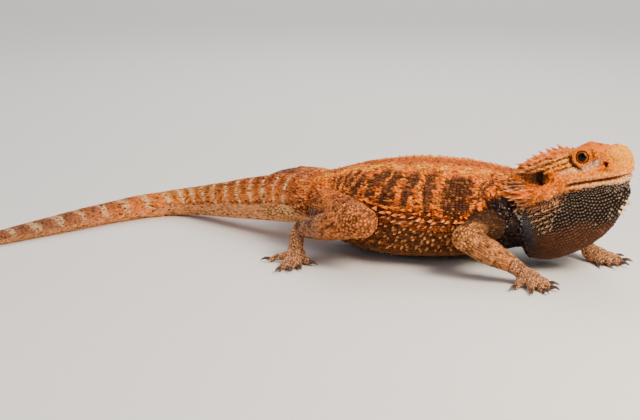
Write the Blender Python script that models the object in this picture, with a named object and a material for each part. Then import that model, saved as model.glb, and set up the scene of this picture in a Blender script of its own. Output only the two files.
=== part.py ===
"""Adult bearded dragon (Pogona vitticeps) at rest: a still, life-size figure in named pieces.

Metres, +Z up. +X runs along the trunk towards the head and +Y to the animal's left. The belly
rests on the plane Z = 0 with the origin under the middle of the trunk. The sizes in the tables
are millimetres. Head, neck, trunk and tail are modelled whole and parted with thin cuts; each
limb is a tube fitted to the flank, parted at its joints; each claw is its own piece.
"""

import math
from typing import NamedTuple

import bmesh
import bpy
import numpy as np
from mathutils import Matrix, Vector

MM = 0.001
GAP = 0.3  # clear space between neighbouring pieces
FLANK_GAP = 0.45  # clear space between a leg and the flank that it is fitted to

TAIL_PIECES = 6
AXIAL_TRIANGLES = 2620  # head, neck, trunk and tail together
LIMB_TRIANGLES = {"front": (130, 330), "hind": (170, 350)}  # upper piece, then lower and foot
MERGE = 0.7  # corners closer than this along a cut through the body are made one
LIMB_MERGE = 0.24

# The head's own frame: its origin is between the ears, on the level of the ear openings.
HEAD_ORIGIN = (77.0, -4.0, 52.0)
HEAD_PITCH = math.radians(12.0)
HEAD_YAW = math.radians(-10.0)

EYE_RADIUS = 4.6
EYE_OPENING = 3.5  # radius of the round opening between the lids
LID_RADIUS = 5.4
EYE_PLACE = (27.0, 7.4, 7.6)  # forward, sideways, up in the head's frame
EAR_PLACE = (5.0, 18.6, -0.2)
EAR_RADII = (2.6, 3.5)  # along and up
EAR_DEPTH = 2.8
NECK_CUT = -9.0  # where the head ends, along its own axis


class Station(NamedTuple):
    """One cross-section: its centre, half its width, and its reach above and below the centre."""

    x: float
    y: float
    z: float
    side: float
    up: float
    down: float


SPINE = {
    "nape": Station(73, -3, 47, 16, 6, 20),
    "neck": Station(66, -2, 41, 20.5, 12, 28),
    "throat": Station(57, -1, 37, 26, 16, 29.5),
    "shoulder": Station(45, 0, 34, 32.5, 19.5, 30),
    "chest": Station(28, 0, 32, 39, 22.3, 31.3),
    "midriff": Station(6, 0, 30.5, 43, 23.2, 31.2),
    "belly": Station(-15, 0, 29.5, 38, 21.5, 30.1),
    "loin": Station(-32, 1, 28, 29, 18.7, 26),
    "hip": Station(-48, 3, 27, 23, 15.2, 20),
    "vent": Station(-62, 6, 24.8, 17.5, 15.0, 15.8),
}
TAIL = {
    "root": Station(-80, 11, 22, 14.0, 13.8, 14.2),
    "thick": Station(-100, 17.5, 18.2, 12.4, 12.4, 12.8),
    "narrowing": Station(-121, 25, 14, 10.6, 10.4, 10.8),
    "touch": Station(-141, 31, 10.2, 8.8, 8.6, 8.8),
    "bend": Station(-160.5, 28, 7.7, 7.7, 7.5, 8.2),
    "turn": Station(-178, 12, 6.8, 7.1, 6.9, 7.4),
    "sweep": Station(-194, -11.5, 6.0, 6.4, 6.1, 6.6),
    "thin": Station(-210, -37, 5.1, 5.6, 5.2, 5.7),
    "whip": Station(-229, -66, 3.8, 4.3, 4.0, 4.4),
    "lash": Station(-247, -94, 2.3, 2.7, 2.4, 2.8),
    "tip": Station(-261, -116, 0.9, 1.1, 0.9, 1.4),
}
# The head's sections, in its own frame.
SKULL = {
    "nape": Station(-13, 0, -4, 16.5, 8.5, 15),
    "jaw_angle": Station(-5, 0, -3.5, 20, 12, 14.5),
    "ear": Station(5, 0, -3, 18.8, 13.6, 14),
    "temple": Station(15, 0, -3, 15.6, 14.2, 13),
    "eye": Station(25, 0, -3, 12.2, 14.4, 12.5),
    "cheek": Station(32.5, 0, -3, 10.6, 13.4, 12),
    "nostril": Station(38, 0, -3.2, 8.9, 13.3, 11.4),
    "muzzle": Station(43.2, 0, -3.6, 7.8, 12.8, 11.0),
    "lip": Station(47.0, 0, -4.4, 6.0, 9.6, 9.2),
    "tip": Station(49.0, 0, -5.4, 3.2, 5.2, 5.2),
}
BEARD = {
    "chin": Station(45.6, 0, -10.6, 4.4, 3, 3.8),
    "front": Station(41.4, 0, -13.0, 7.4, 6, 7.2),
    "puff": Station(33.5, 0, -16.5, 11.4, 10, 12.6),
    "full": Station(23, 0, -21, 16.2, 14, 17.4),
    "deep": Station(11.5, 0, -24.2, 20.2, 15, 20.2),
    "back": Station(0, 0, -25.5, 22.2, 15, 22),
    "root": Station(-12, 0, -25, 21.4, 15, 22),
}


class Limb(NamedTuple):
    """A leg: which way its side points, its joints, and the way its foot and toes lie."""

    side: int
    joints: tuple
    radii: tuple
    heading: float
    toe_fan: tuple
    toe_lengths: tuple
    sole: tuple


ARM_RADII = (10, 8.4, 6.8, 6.8, 4.6)  # shoulder, upper arm, elbow, forearm, wrist
LEG_RADII = (13, 11.4, 8.4, 7.8, 4.8)  # hip, thigh, knee, shank, ankle
LIMBS = {
    "front_right": Limb(
        -1, ((56, -20, 28), (44, -46, 23.5), (69, -43, 10.5)), ARM_RADII,
        -45, (45, 19, -5, -29, -68), (8.5, 12, 13.5, 13, 10), (78, -42, 4.2)),
    "front_left": Limb(
        1, ((58, 20, 28), (75, 39, 20), (96.5, 17, 9.8)), ARM_RADII,
        -26, (42, 17, -5, -27, -58), (8.5, 12, 13.5, 13, 10), (105.5, 12, 4.2)),
    "hind_right": Limb(
        -1, ((-43, -14, 26), (-11, -50, 28.5), (-51, -36, 17)), LEG_RADII,
        -84, (64, 24, 5, -12, -78), (8, 11.5, 14.5, 17, 11), (-52, -42, 4.2)),
    "hind_left": Limb(
        1, ((-48, 16, 26), (-77, 47, 24.5), (-109, 71, 13.5)), LEG_RADII,
        150, (56, 26, 4, -18, -66), (8, 12, 16, 20, 13), (-119, 79, 4.2)),
}
SEGMENT_NAMES = {"front": ("upper_arm", "forearm", "hand"), "hind": ("thigh", "shank", "foot")}
SOLE_RADII = (8.0, 6.0, 4.4)
TOE_RADII = (2.5, 2.3, 1.9, 1.8, 1.45)
CLAW_LENGTH = 5.2
CLAW_RADIUS = 1.05

COLOURS = {
    "skin": ((0.62, 0.27, 0.09), 0.75),
    "throat": ((0.10, 0.06, 0.04), 0.8),
    "eye": ((0.35, 0.12, 0.03), 0.12),
    "ear": ((0.12, 0.03, 0.02), 0.6),
    "claw": ((0.12, 0.07, 0.045), 0.35),
}


def clear_scene():
    """Empty the scene of its starting objects."""
    for old in list(bpy.data.objects):
        bpy.data.objects.remove(old)


def paint(obj, finish):
    """Give an object its own material from COLOURS."""
    colour, roughness = COLOURS[finish]
    material = bpy.data.materials.new(f"{obj.name}_{finish}")
    material.use_nodes = True
    shader = material.node_tree.nodes["Principled BSDF"]
    shader.inputs["Base Color"].default_value = (*colour, 1)
    shader.inputs["Roughness"].default_value = roughness
    shader.inputs["Metallic"].default_value = 0.0
    obj.data.materials.clear()
    obj.data.materials.append(material)


def place(name, mesh):
    """Link a mesh to the scene as a named object."""
    obj = bpy.data.objects.new(name, mesh)
    bpy.context.scene.collection.objects.link(obj)
    return obj


def remove(*objs):
    """Take helpers out of the scene."""
    for obj in objs:
        bpy.data.objects.remove(obj)


def settle(obj):
    """Apply an object's modifiers to its mesh."""
    bpy.context.view_layer.update()
    graph = bpy.context.evaluated_depsgraph_get()
    mesh = bpy.data.meshes.new_from_object(obj.evaluated_get(graph))
    obj.modifiers.clear()
    obj.data = mesh
    return obj


def smooth_rows(rows, steps):
    """Catmull-Rom curve through rows of numbers, with steps samples to each span."""
    rows = np.array(rows, float)
    ends = np.vstack([2 * rows[0] - rows[1], rows, 2 * rows[-1] - rows[-2]])
    t = np.linspace(0, 1, steps, endpoint=False)[:, None]
    spans = [
        0.5 * (2 * b + (c - a) * t + (2 * a - 5 * b + 4 * c - d) * t**2
               + (3 * b - a - 3 * c + d) * t**3)
        for a, b, c, d in zip(ends, ends[1:], ends[2:], ends[3:])
    ]
    return np.vstack([*spans, rows[-1:]])


def loft(name, stations, sides=28, steps=6, squareness=2.1, frame=None):
    """A closed body through cross-sections: superellipses square to the path through the centres."""
    rows = smooth_rows(list(stations), steps)
    centres, sizes = rows[:, :3], np.maximum(rows[:, 3:], 0.4)
    along = np.gradient(centres, axis=0)
    along /= np.linalg.norm(along, axis=1)[:, None]
    across = np.cross(along, (0, 0, 1))
    across /= np.linalg.norm(across, axis=1)[:, None]
    above = np.cross(across, along)
    angle = np.linspace(0, math.tau, sides, endpoint=False)
    power = 2 / squareness
    flat = np.sign(np.cos(angle)) * np.abs(np.cos(angle)) ** power
    tall = np.sign(np.sin(angle)) * np.abs(np.sin(angle)) ** power
    reach = np.where(tall[None] > 0, sizes[:, 1:2], sizes[:, 2:3])
    points = (
        centres[:, None]
        + across[:, None] * (flat[None] * sizes[:, :1])[..., None]
        + above[:, None] * (tall[None] * reach)[..., None]
    )
    count = len(rows)
    quads = [
        (i * sides + j, i * sides + (j + 1) % sides,
         (i + 1) * sides + (j + 1) % sides, (i + 1) * sides + j)
        for i in range(count - 1) for j in range(sides)
    ]
    caps = [tuple(range(sides))[::-1], tuple((count - 1) * sides + j for j in range(sides))]
    mesh = bpy.data.meshes.new(name)
    mesh.from_pydata((points.reshape(-1, 3) * MM).tolist(), [], quads + caps)
    if frame is not None:
        mesh.transform(frame)
    shape = bmesh.new()
    shape.from_mesh(mesh)
    bmesh.ops.recalc_face_normals(shape, faces=shape.faces)
    shape.to_mesh(mesh)
    shape.free()
    return place(name, mesh)


def ball(name, centre, radii, frame=None, rings=14):
    """An ellipsoid with its centre and radii in millimetres, in the world or in a given frame."""
    shape = bmesh.new()
    bmesh.ops.create_uvsphere(shape, u_segments=2 * rings, v_segments=rings, radius=1)
    mesh = bpy.data.meshes.new(name)
    shape.to_mesh(mesh)
    shape.free()
    scale = Matrix.Diagonal((*(r * MM for r in radii), 1))
    mesh.transform((frame or Matrix()) @ Matrix.Translation(Vector(centre) * MM) @ scale)
    return place(name, mesh)


def fuse(name, pieces, voxel, rounding):
    """Melt overlapping closed pieces into one smooth skin, by voxels of the given size in mm."""
    shape = bmesh.new()
    for piece in pieces:
        shape.from_mesh(piece.data)
    mesh = bpy.data.meshes.new(name)
    shape.to_mesh(mesh)
    shape.free()
    remove(*pieces)
    whole = place(name, mesh)
    remesh = whole.modifiers.new("melt", "REMESH")
    remesh.mode = "VOXEL"
    remesh.voxel_size = voxel * MM
    soften = whole.modifiers.new("soften", "SMOOTH")
    soften.factor = 0.5
    soften.iterations = rounding
    return settle(whole)


def thin_out(obj, triangles):
    """Reduce a mesh to about this many triangles, keeping them where it curves most."""
    found = sum(len(p.vertices) - 2 for p in obj.data.polygons)
    modifier = obj.modifiers.new("thin", "DECIMATE")
    modifier.ratio = min(1.0, triangles / found)
    modifier.use_collapse_triangulate = True
    return settle(obj)


def flatten_on_floor(obj):
    """Cut off what is below Z = 0 and close the cut with a flat."""
    shape = bmesh.new()
    shape.from_mesh(obj.data)
    everything = shape.verts[:] + shape.edges[:] + shape.faces[:]
    cut = bmesh.ops.bisect_plane(
        shape, geom=everything, dist=1e-7, plane_co=(0, 0, 0), plane_no=(0, 0, 1), clear_inner=True)
    rim = [e for e in cut["geom_cut"] if isinstance(e, bmesh.types.BMEdge)]
    bmesh.ops.contextual_create(shape, geom=rim)
    bmesh.ops.triangulate(shape, faces=[f for f in shape.faces if len(f.verts) > 4])
    shape.to_mesh(obj.data)
    shape.free()
    return obj


def carve(obj, cutters, operation="DIFFERENCE"):
    """Apply a Boolean with one helper or several that don't touch each other, and remove them."""
    shape = bmesh.new()
    for cutter in cutters:
        shape.from_mesh(cutter.data)
    mesh = bpy.data.meshes.new("cutter")
    shape.to_mesh(mesh)
    shape.free()
    tool = place("cutter", mesh)
    modifier = obj.modifiers.new("carve", "BOOLEAN")
    modifier.operation = operation
    modifier.solver = "EXACT"
    modifier.object = tool
    settle(obj)
    remove(tool, *cutters)
    return obj


def swollen(obj, by):
    """A copy of an object whose surface lies this many millimetres further out."""
    mesh = obj.data.copy()
    count = len(mesh.vertices)
    points, normals = np.empty(count * 3, np.float32), np.empty(count * 3, np.float32)
    mesh.vertices.foreach_get("co", points)
    mesh.vertex_normals.foreach_get("vector", normals)
    mesh.vertices.foreach_set("co", points + normals * by * MM)
    return place(obj.name + "_swollen", mesh)


def plate(centre, normal, half_width, half_height, frame=None):
    """A thin cutting plate, square to normal, as wide as asked and standing upright."""
    forward = Vector(normal).normalized()
    across = forward.cross(Vector((0, 0, 1))).normalized()
    turn = Matrix((across, forward.cross(across), forward)).transposed().to_4x4()
    shape = bmesh.new()
    bmesh.ops.create_cube(shape, size=2)
    mesh = bpy.data.meshes.new("plate")
    shape.to_mesh(mesh)
    shape.free()
    scale = Matrix.Diagonal((half_width * MM, half_height * MM, GAP / 2 * MM, 1))
    where = Matrix.Translation(Vector(centre) * MM)
    mesh.transform((frame or Matrix()) @ where @ turn @ scale)
    return place("plate", mesh)


def ribbon_plate(profile, half_width, frame):
    """A thin cutting plate bent along a profile of (forward, up) points, level from side to side."""
    curve = smooth_rows(profile, 4)
    slope = np.gradient(curve, axis=0)
    slope /= np.linalg.norm(slope, axis=1)[:, None]
    offset = np.column_stack([-slope[:, 1], slope[:, 0]]) * GAP / 2
    outline = np.vstack([curve + offset, (curve - offset)[::-1]])
    count = len(outline)
    points = [(x, y, z) for y in (-half_width, half_width) for x, z in outline]
    sides = [(i, (i + 1) % count, count + (i + 1) % count, count + i) for i in range(count)]
    mesh = bpy.data.meshes.new("ribbon")
    mesh.from_pydata((np.array(points) * MM).tolist(), [],
                     [*sides, tuple(range(count))[::-1], tuple(range(count, 2 * count))])
    mesh.transform(frame)
    shape = bmesh.new()
    shape.from_mesh(mesh)
    bmesh.ops.recalc_face_normals(shape, faces=shape.faces)
    shape.to_mesh(mesh)
    shape.free()
    return place("ribbon", mesh)


def tidy(mesh, merge):
    """Make the crowded corners along a mesh's cuts one where that keeps it closed; triangulate it."""
    for reach in (merge, merge / 2, merge / 4, 0.02):
        shape = bmesh.new()
        shape.from_mesh(mesh)
        bmesh.ops.remove_doubles(shape, verts=shape.verts, dist=reach * MM)
        bmesh.ops.dissolve_degenerate(shape, edges=shape.edges, dist=0.02 * MM)
        bmesh.ops.triangulate(shape, faces=shape.faces)
        closed = all(e.is_manifold for e in shape.edges) and all(v.is_manifold for v in shape.verts)
        if closed or reach == 0.02:
            shape.to_mesh(mesh)
        shape.free()
        if closed:
            break
    return mesh


def split_loose(obj, seeds, merge):
    """Part an object into its loose pieces, and name each for the seed point nearest its middle."""
    shape = bmesh.new()
    shape.from_mesh(obj.data)
    shape.verts.ensure_lookup_table()
    unseen, islands = set(shape.verts), []
    while unseen:
        queue, island = [unseen.pop()], []
        while queue:
            vert = queue.pop()
            island.append(vert)
            for edge in vert.link_edges:
                other = edge.other_vert(vert)
                if other in unseen:
                    unseen.remove(other)
                    queue.append(other)
        islands.append(island)
    islands = sorted(islands, key=len, reverse=True)[: len(seeds)]
    free = dict(seeds)
    made = {}
    for island in islands:
        points = np.array([v.co for v in island])
        middle = (points.min(0) + points.max(0)) / 2
        name = min(free, key=lambda n: np.linalg.norm(np.array(free[n]) * MM - middle))
        del free[name]
        index = {v: i for i, v in enumerate(island)}
        faces = {f for v in island for f in v.link_faces}
        ordered = sorted([index[v] for v in f.verts] for f in faces)
        mesh = bpy.data.meshes.new(name)
        mesh.from_pydata([tuple(v.co) for v in island], [], ordered)
        made[name] = place(name, tidy(mesh, merge))
    shape.free()
    remove(obj)
    return made


def head_frame():
    """The matrix that carries the head's own frame into the world, in metres."""
    turn = Matrix.Rotation(HEAD_YAW, 4, "Z") @ Matrix.Rotation(-HEAD_PITCH, 4, "Y")
    return Matrix.Translation(Vector(HEAD_ORIGIN) * MM) @ turn


def in_head(u, v, w):
    """A point of the head's frame, in world millimetres."""
    return tuple((head_frame() @ (Vector((u, v, w)) * MM)) / MM)


def head_swellings():
    """Brows, eyelids, jaw muscles, and the lips that frame the mouth."""
    frame = head_frame()
    made = []
    for side in (-1, 1):
        forward, out, up = EYE_PLACE
        made += [
            ball("lids", (forward, side * out, up), (LID_RADIUS,) * 3, frame),
            ball("jaw_muscle", (1, side * 16.3, -9), (12, 6.2, 6.8), frame),
            ball("temple", (11, side * 12, 5), (12, 5.0, 4.6), frame),
            ball("nasal_bump", (40.5, side * 3.6, 5.4), (5, 4.0, 4.4), frame),
        ]
        brow = [Station(14, side * 10.2, 6.0, 2.0, 2.0, 2.0),
                Station(20, side * 9.4, 8.2, 3.0, 3.0, 3.0),
                Station(26, side * 8.6, 9.4, 3.8, 3.5, 3.4),
                Station(31, side * 8.0, 9.0, 3.4, 3.2, 3.2),
                Station(37, side * 6.6, 7.4, 2.7, 2.6, 2.6),
                Station(42, side * 4.9, 6.2, 2.2, 2.0, 2.0)]
        made.append(loft("brow", brow, 12, 5, frame=frame))
        upper_lip = [Station(48.2, side * 2.6, -3.8, 1.6, 1.6, 1.1),
                     Station(43.0, side * 7.0, -3.6, 1.8, 2.0, 1.3),
                     Station(34, side * 10.4, -3.4, 1.9, 2.2, 1.4),
                     Station(20, side * 14.4, -3.2, 2.2, 2.2, 1.4),
                     Station(9, side * 14.5, -3.4, 1.6, 1.6, 1.2)]
        lower_lip = [Station(47.8, side * 2.6, -6.8, 1.6, 1.4, 2.0),
                     Station(42.6, side * 6.8, -7.2, 2.0, 1.7, 2.6),
                     Station(32, side * 10.6, -7.6, 2.4, 2.0, 3.0),
                     Station(18, side * 14.6, -7.9, 2.6, 2.2, 3.4),
                     Station(7, side * 15.0, -8.2, 2.0, 1.8, 2.6)]
        made += [loft("upper_lip", upper_lip, 12, 5, frame=frame),
                 loft("lower_lip", lower_lip, 12, 5, frame=frame)]
    return made


def axial_body():
    """Head, beard, neck, trunk and tail as one faceted skin, flat where the belly and tail lie."""
    frame = head_frame()
    torso = [
        loft("trunk", [*SPINE.values(), *TAIL.values()], 36, 5),
        loft("skull", SKULL.values(), 32, 5, 2.25, frame),
        loft("beard", BEARD.values(), 32, 5, 2.1, frame),
        *head_swellings(),
    ]
    for side in (-1, 1):
        torso.append(ball("shoulder", (56, side * 19, 29), (14, 10, 12)))
        torso.append(ball("haunch", (-46, 2 + side * 15, 25), (17, 12.5, 12)))
    whole = fuse("axial", torso, 1.0, 6)
    return flatten_on_floor(thin_out(whole, AXIAL_TRIANGLES))


def sockets(head):
    """Open the eye sockets and the ear pits, and set an eye and an eardrum in each."""
    frame = head_frame()
    room = EYE_RADIUS + GAP
    made = {}
    for side, hand in (("left", 1), ("right", -1)):
        forward, out, up = EYE_PLACE
        socket = ball("socket", (forward, hand * out, up), (room,) * 3, frame, 7)
        window = [Station(forward + 0.10 * t, hand * (out + t), up + 0.06 * t, *([EYE_OPENING] * 3))
                  for t in (2.0, 5.0, 9.0)]
        carve(head, [socket])
        carve(head, [loft("window", window, 14, 1, 2.0, frame)])
        made[f"eye_{side}"] = ball("eye", (forward, hand * out, up), (EYE_RADIUS,) * 3, frame, 7)
        forward, out, up = EAR_PLACE
        pit = (EAR_RADII[0] + GAP, EAR_DEPTH, EAR_RADII[1] + GAP)
        carve(head, [ball("pit", (forward, hand * out, up), pit, frame, 6)])
        inward = hand * (out - EAR_DEPTH + GAP + 0.6)
        drum = (EAR_RADII[0] - 0.9, 0.6, EAR_RADII[1] - 1.1)
        made[f"eardrum_{side}"] = ball("eardrum", (forward, inward, up), drum, frame, 4)
    for name, obj in made.items():
        obj.name = name
    return made


def axial_cuts():
    """The plates that part the body: neck, mouth, beard, chest, belly, pelvis and tail."""
    frame = head_frame()
    mouth = [(56, -5.3), (45, -5.2), (34, -5.2), (24, -5.1), (16, -5.2), (6, -7.2), (NECK_CUT, -11)]
    chin = [(56, -12.4), (45, -12.6), (30, -13.6), (14, -15.4), (NECK_CUT, -20)]
    head_cuts = [
        plate((NECK_CUT, 0, -20), (1, 0, 0), 33, 40, frame),
        ribbon_plate(mouth, 33, frame),
        ribbon_plate(chin, 33, frame),
    ]
    tail_line = smooth_rows([*TAIL.values()], 12)
    spine_cuts = [
        plate((57.5, -1, 32), (0.95, -0.03, 0.30), 32, 40),
        plate((14, 0, 26), (1, 0, 0), 60, 40),
        plate((-31, 1, 26), (1, -0.06, 0), 60, 40),
        plate((-66, 7, 22), (0.96, -0.24, 0.05), 26, 26),
    ]
    for piece in range(1, TAIL_PIECES):
        at = round(piece * (len(tail_line) - 1) / TAIL_PIECES)
        centre, reach = tail_line[at, :3], tail_line[at, 3] + 8
        spine_cuts.append(plate(centre, tail_line[at + 1, :3] - tail_line[at - 1, :3], reach, reach))
    return head_cuts, spine_cuts


def axial_seeds():
    """A point near the middle of each axial piece, for naming it."""
    tail_line = smooth_rows([*TAIL.values()], 12)
    seeds = {
        "head": in_head(20, 0, 3), "lower_jaw": in_head(20, 0, -13), "beard": in_head(17, 0, -30),
        "neck": (66, -2, 34), "chest": (40, 0, 28), "belly": (-8, 0, 26), "pelvis": (-48, 3, 24),
    }
    for piece in range(TAIL_PIECES):
        middle = round((piece + 0.5) * (len(tail_line) - 1) / TAIL_PIECES)
        seeds[f"tail_{piece + 1}"] = tuple(tail_line[middle, :3])
    return seeds


def limb_tubes(name, limb):
    """The upper piece with the joint's ball, and the lower piece down into the foot."""
    root, knee, ankle = (np.array(j, float) for j in limb.joints)
    sole = np.array(limb.sole, float)
    points = [root, (root + knee) / 2, knee, knee * 0.45 + ankle * 0.55, ankle,
              ankle * 0.2 + sole * 0.8]
    radii = [*limb.radii, limb.radii[-1] * 0.8]
    stations = [Station(*p, r, r, r) for p, r in zip(points, radii)]
    upper = [loft(name, stations[:3], 20, 6, 2.0), ball(name, knee, (limb.radii[2] * 1.03,) * 3),
             ball(name, root, (limb.radii[0],) * 3)]
    return upper, [loft(name, stations[2:], 20, 6, 2.0)]


def toe_path(limb, number):
    """A toe's centre line: out of the sole, arched over its joints, down to the claw."""
    angle = math.radians(limb.heading + limb.side * -limb.toe_fan[number])
    way = np.array((math.cos(angle), math.sin(angle), 0))
    sole = np.array(limb.sole, float)
    start = sole + way * 3.0
    length = limb.toe_lengths[number]
    shape = ((0.0, 0.0), (0.3, 0.5), (0.6, 0.1), (0.8, -0.8), (1.0, -2.0))
    height = sole[2] - 1.2
    return [start + way * length * t + np.array((0, 0, height - sole[2] + lift)) * min(1, 3 * t + 0.3)
            for t, lift in shape], way


def foot_pieces(name, limb):
    """The palm or sole and the five toes, still overlapping."""
    sole = np.array(limb.sole, float)
    angle = math.radians(limb.heading)
    turn = Matrix.Translation(Vector(sole) * MM) @ Matrix.Rotation(angle, 4, "Z")
    pieces = [ball(name, (0, 0, 0), SOLE_RADII, turn)]
    for number in range(5):
        path, _ = toe_path(limb, number)
        stations = [Station(*p, r, r, r) for p, r in zip(path, TOE_RADII)]
        pieces.append(loft(name, stations, 12, 4, 2.0))
    return pieces


def claw(name, limb, number):
    """A curved, tapering claw that grows from the toe's end and bends down to the floor."""
    path, way = toe_path(limb, number)
    root = path[-1] - way * 0.4
    root[2] = max(root[2], CLAW_RADIUS + 0.9)
    bend = ((0.0, 0.0, 1.0), (0.5, 0.3, 0.8), (1.0, -0.6, 0.22))
    stations = []
    for t, lift, size in bend:
        at = root + way * CLAW_LENGTH * t
        at[2] = max(root[2] + lift * 1.3, CLAW_RADIUS * size + 0.35)
        stations.append(Station(*at, 0.8 * CLAW_RADIUS * size, CLAW_RADIUS * size, CLAW_RADIUS * size))
    return loft(name, stations, 5, 1, 2.0)


def build_limb(name, limb, body):
    """One leg in its three pieces and five claws, fitted against the trunk."""
    kind = name.split("_")[0]
    upper_pieces, lower_pieces = limb_tubes(name, limb)
    upper = thin_out(fuse(name, upper_pieces, 0.7, 3), LIMB_TRIANGLES[kind][0])
    lower = fuse(name, lower_pieces + foot_pieces(name, limb), 0.6, 4)
    flatten_on_floor(thin_out(lower, LIMB_TRIANGLES[kind][1]))
    carve(lower, [swollen(upper, GAP)])
    for tube in (upper, lower):
        carve(tube, [swollen(body, FLANK_GAP)])
    claws = {n: claw(f"claw_{name}_{n + 1}", limb, n) for n in range(5)}
    carve(lower, [swollen(c, GAP) for c in claws.values()])
    knee, ankle = (np.array(j, float) for j in limb.joints[1:])
    onward = np.array(limb.sole, float) - ankle
    carve(lower, [plate(ankle, onward * (1, 1, 0.3) + (ankle - knee) * 0.5, 9, 9)])
    names = [f"{part}_{name}" for part in SEGMENT_NAMES[kind]]
    pieces = split_loose(upper, {names[0]: limb.joints[0]}, LIMB_MERGE)
    seeds = {names[1]: tuple((knee + ankle) / 2), names[2]: limb.sole}
    return {**pieces, **split_loose(lower, seeds, LIMB_MERGE)}, claws


def finish(obj, colour):
    """Smooth shading with crisp cut edges, and the piece's material."""
    obj.data.shade_smooth()
    obj.data.set_sharp_from_angle(angle=math.radians(50))
    paint(obj, colour)


def main():
    """Build every piece of the figure."""
    clear_scene()
    body = axial_body()
    limbs = {name: build_limb(name, limb, body) for name, limb in LIMBS.items()}
    head_cuts, spine_cuts = axial_cuts()
    for cut in head_cuts:
        carve(body, [cut])
    carve(body, spine_cuts)
    pieces = split_loose(body, axial_seeds(), MERGE)
    for name, obj in sockets(pieces["head"]).items():
        finish(obj, "eye" if name.startswith("eye") else "ear")
    for name, obj in pieces.items():
        finish(obj, "throat" if name == "beard" else "skin")
    for segments, claws in limbs.values():
        for obj in segments.values():
            finish(obj, "skin")
        for obj in claws.values():
            finish(obj, "claw")


main()
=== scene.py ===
"""Bearded dragon at rest: scaly hide, coat of scales, eyes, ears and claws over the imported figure.

The hide is one skin over all the flesh. Scales are small closed shapes set in rows on it. Every length
in this file is in millimetres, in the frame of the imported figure, until a mesh is made. The head has
its own frame: u forward, v to the animal's left, w up, with its origin between the ears.
"""

import logging
import math
from collections.abc import Callable
from copy import copy
from dataclasses import dataclass, field
from enum import Enum

import bpy
import numpy as np
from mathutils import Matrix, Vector
from mathutils.bvhtree import BVHTree
from mathutils.kdtree import KDTree


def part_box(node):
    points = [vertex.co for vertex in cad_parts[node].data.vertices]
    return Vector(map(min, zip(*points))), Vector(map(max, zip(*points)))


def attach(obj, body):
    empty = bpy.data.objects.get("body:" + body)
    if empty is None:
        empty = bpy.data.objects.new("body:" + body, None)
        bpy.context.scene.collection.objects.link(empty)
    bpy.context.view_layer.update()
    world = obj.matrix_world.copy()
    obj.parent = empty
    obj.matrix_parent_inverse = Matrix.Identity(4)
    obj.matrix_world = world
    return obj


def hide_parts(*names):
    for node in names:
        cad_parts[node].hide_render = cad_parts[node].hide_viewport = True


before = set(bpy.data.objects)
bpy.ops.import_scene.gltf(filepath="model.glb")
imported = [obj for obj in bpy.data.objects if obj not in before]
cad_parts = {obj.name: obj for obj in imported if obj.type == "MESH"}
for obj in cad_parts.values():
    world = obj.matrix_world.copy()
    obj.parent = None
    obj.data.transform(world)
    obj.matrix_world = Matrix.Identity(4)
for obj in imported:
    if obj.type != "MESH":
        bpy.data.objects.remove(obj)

MM = 0.001
LOG = logging.getLogger("bearded_dragon")
Array = np.ndarray


class Region(Enum):
    """The parts of the hide that differ in scales and colour."""

    HEAD = 0
    JAW = 1
    BEARD = 2
    NECK = 3
    TRUNK = 4
    TAIL = 5
    ARM = 6
    LEG = 7
    HAND = 8
    FOOT = 9


REGION_OF = {
    "head": Region.HEAD, "lower": Region.JAW, "beard": Region.BEARD, "neck": Region.NECK,
    "chest": Region.TRUNK, "belly": Region.TRUNK, "pelvis": Region.TRUNK, "tail": Region.TAIL,
    "upper": Region.ARM, "forearm": Region.ARM, "thigh": Region.LEG, "shank": Region.LEG,
    "hand": Region.HAND, "foot": Region.FOOT,
}
TRUNK_NODES = ("neck", "chest", "belly", "pelvis")
TAIL_NODES = tuple(f"tail_{number}" for number in range(1, 7))
AXIAL_NODES = (*TRUNK_NODES, *TAIL_NODES)
LIMB_NODES = {
    f"{end}_{side}": tuple(f"{part}_{end}_{side}" for part in parts)
    for end, parts in (("front", ("upper_arm", "forearm", "hand")), ("hind", ("thigh", "shank", "foot")))
    for side in ("right", "left")
}
FLESH = ("head", "lower_jaw", "beard", *AXIAL_NODES, *(n for three in LIMB_NODES.values() for n in three))
HANDS = {"left": 1.0, "right": -1.0}  # the sign of each side's direction in the head's frame


def region_of(node: str) -> Region:
    """The region that a flesh node belongs to, told by the first word of its name."""
    return REGION_OF[node.split("_")[0]]


def numbers_of(nodes: tuple) -> list[int]:
    """The places of nodes in the list of flesh, which label the hide's points."""
    return [FLESH.index(name) for name in nodes]


# ---------------------------------------------------------------- numbers and curves


def unit(rows: Array) -> Array:
    """Each row scaled to length one: the row over its own length."""
    rows = np.asarray(rows, float)
    return rows / np.maximum(np.linalg.norm(rows, axis=-1, keepdims=True), 1e-12)


def laid_flat(ways: Array, normals: Array) -> Array:
    """Directions turned into the skin: each less its own share along the normal, made one long."""
    return unit(ways - normals * np.einsum("ij,ij->i", ways, normals)[:, None])


def read_off(at: Array, run: Array, rows: Array) -> Array:
    """Rows of numbers that are known along a run, read off at other places on it, column by column."""
    return np.stack([np.interp(at, run, rows[:, k]) for k in range(rows.shape[1])], -1)


def tree_of(points: Array) -> KDTree:
    """A search tree over points.

    Args:
        points: the places, one row each.

    Returns:
        The tree; what it finds carries the number of the row.
    """
    tree = KDTree(len(points))
    for number, place in enumerate(points.tolist()):
        tree.insert(place, number)
    tree.balance()
    return tree


def ramp(values: Array, low: float, high: float) -> Array:
    """A smooth step from 0 at low to 1 at high: t squared times (3 - 2t)."""
    t = np.clip((values - low) / (high - low), 0, 1)
    return t * t * (3 - 2 * t)


def bump(values: Array, centre: float, width: float) -> Array:
    """A bell around a centre: e to the minus square of the distance over the width."""
    return np.exp(-(((values - centre) / width) ** 2))


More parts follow.
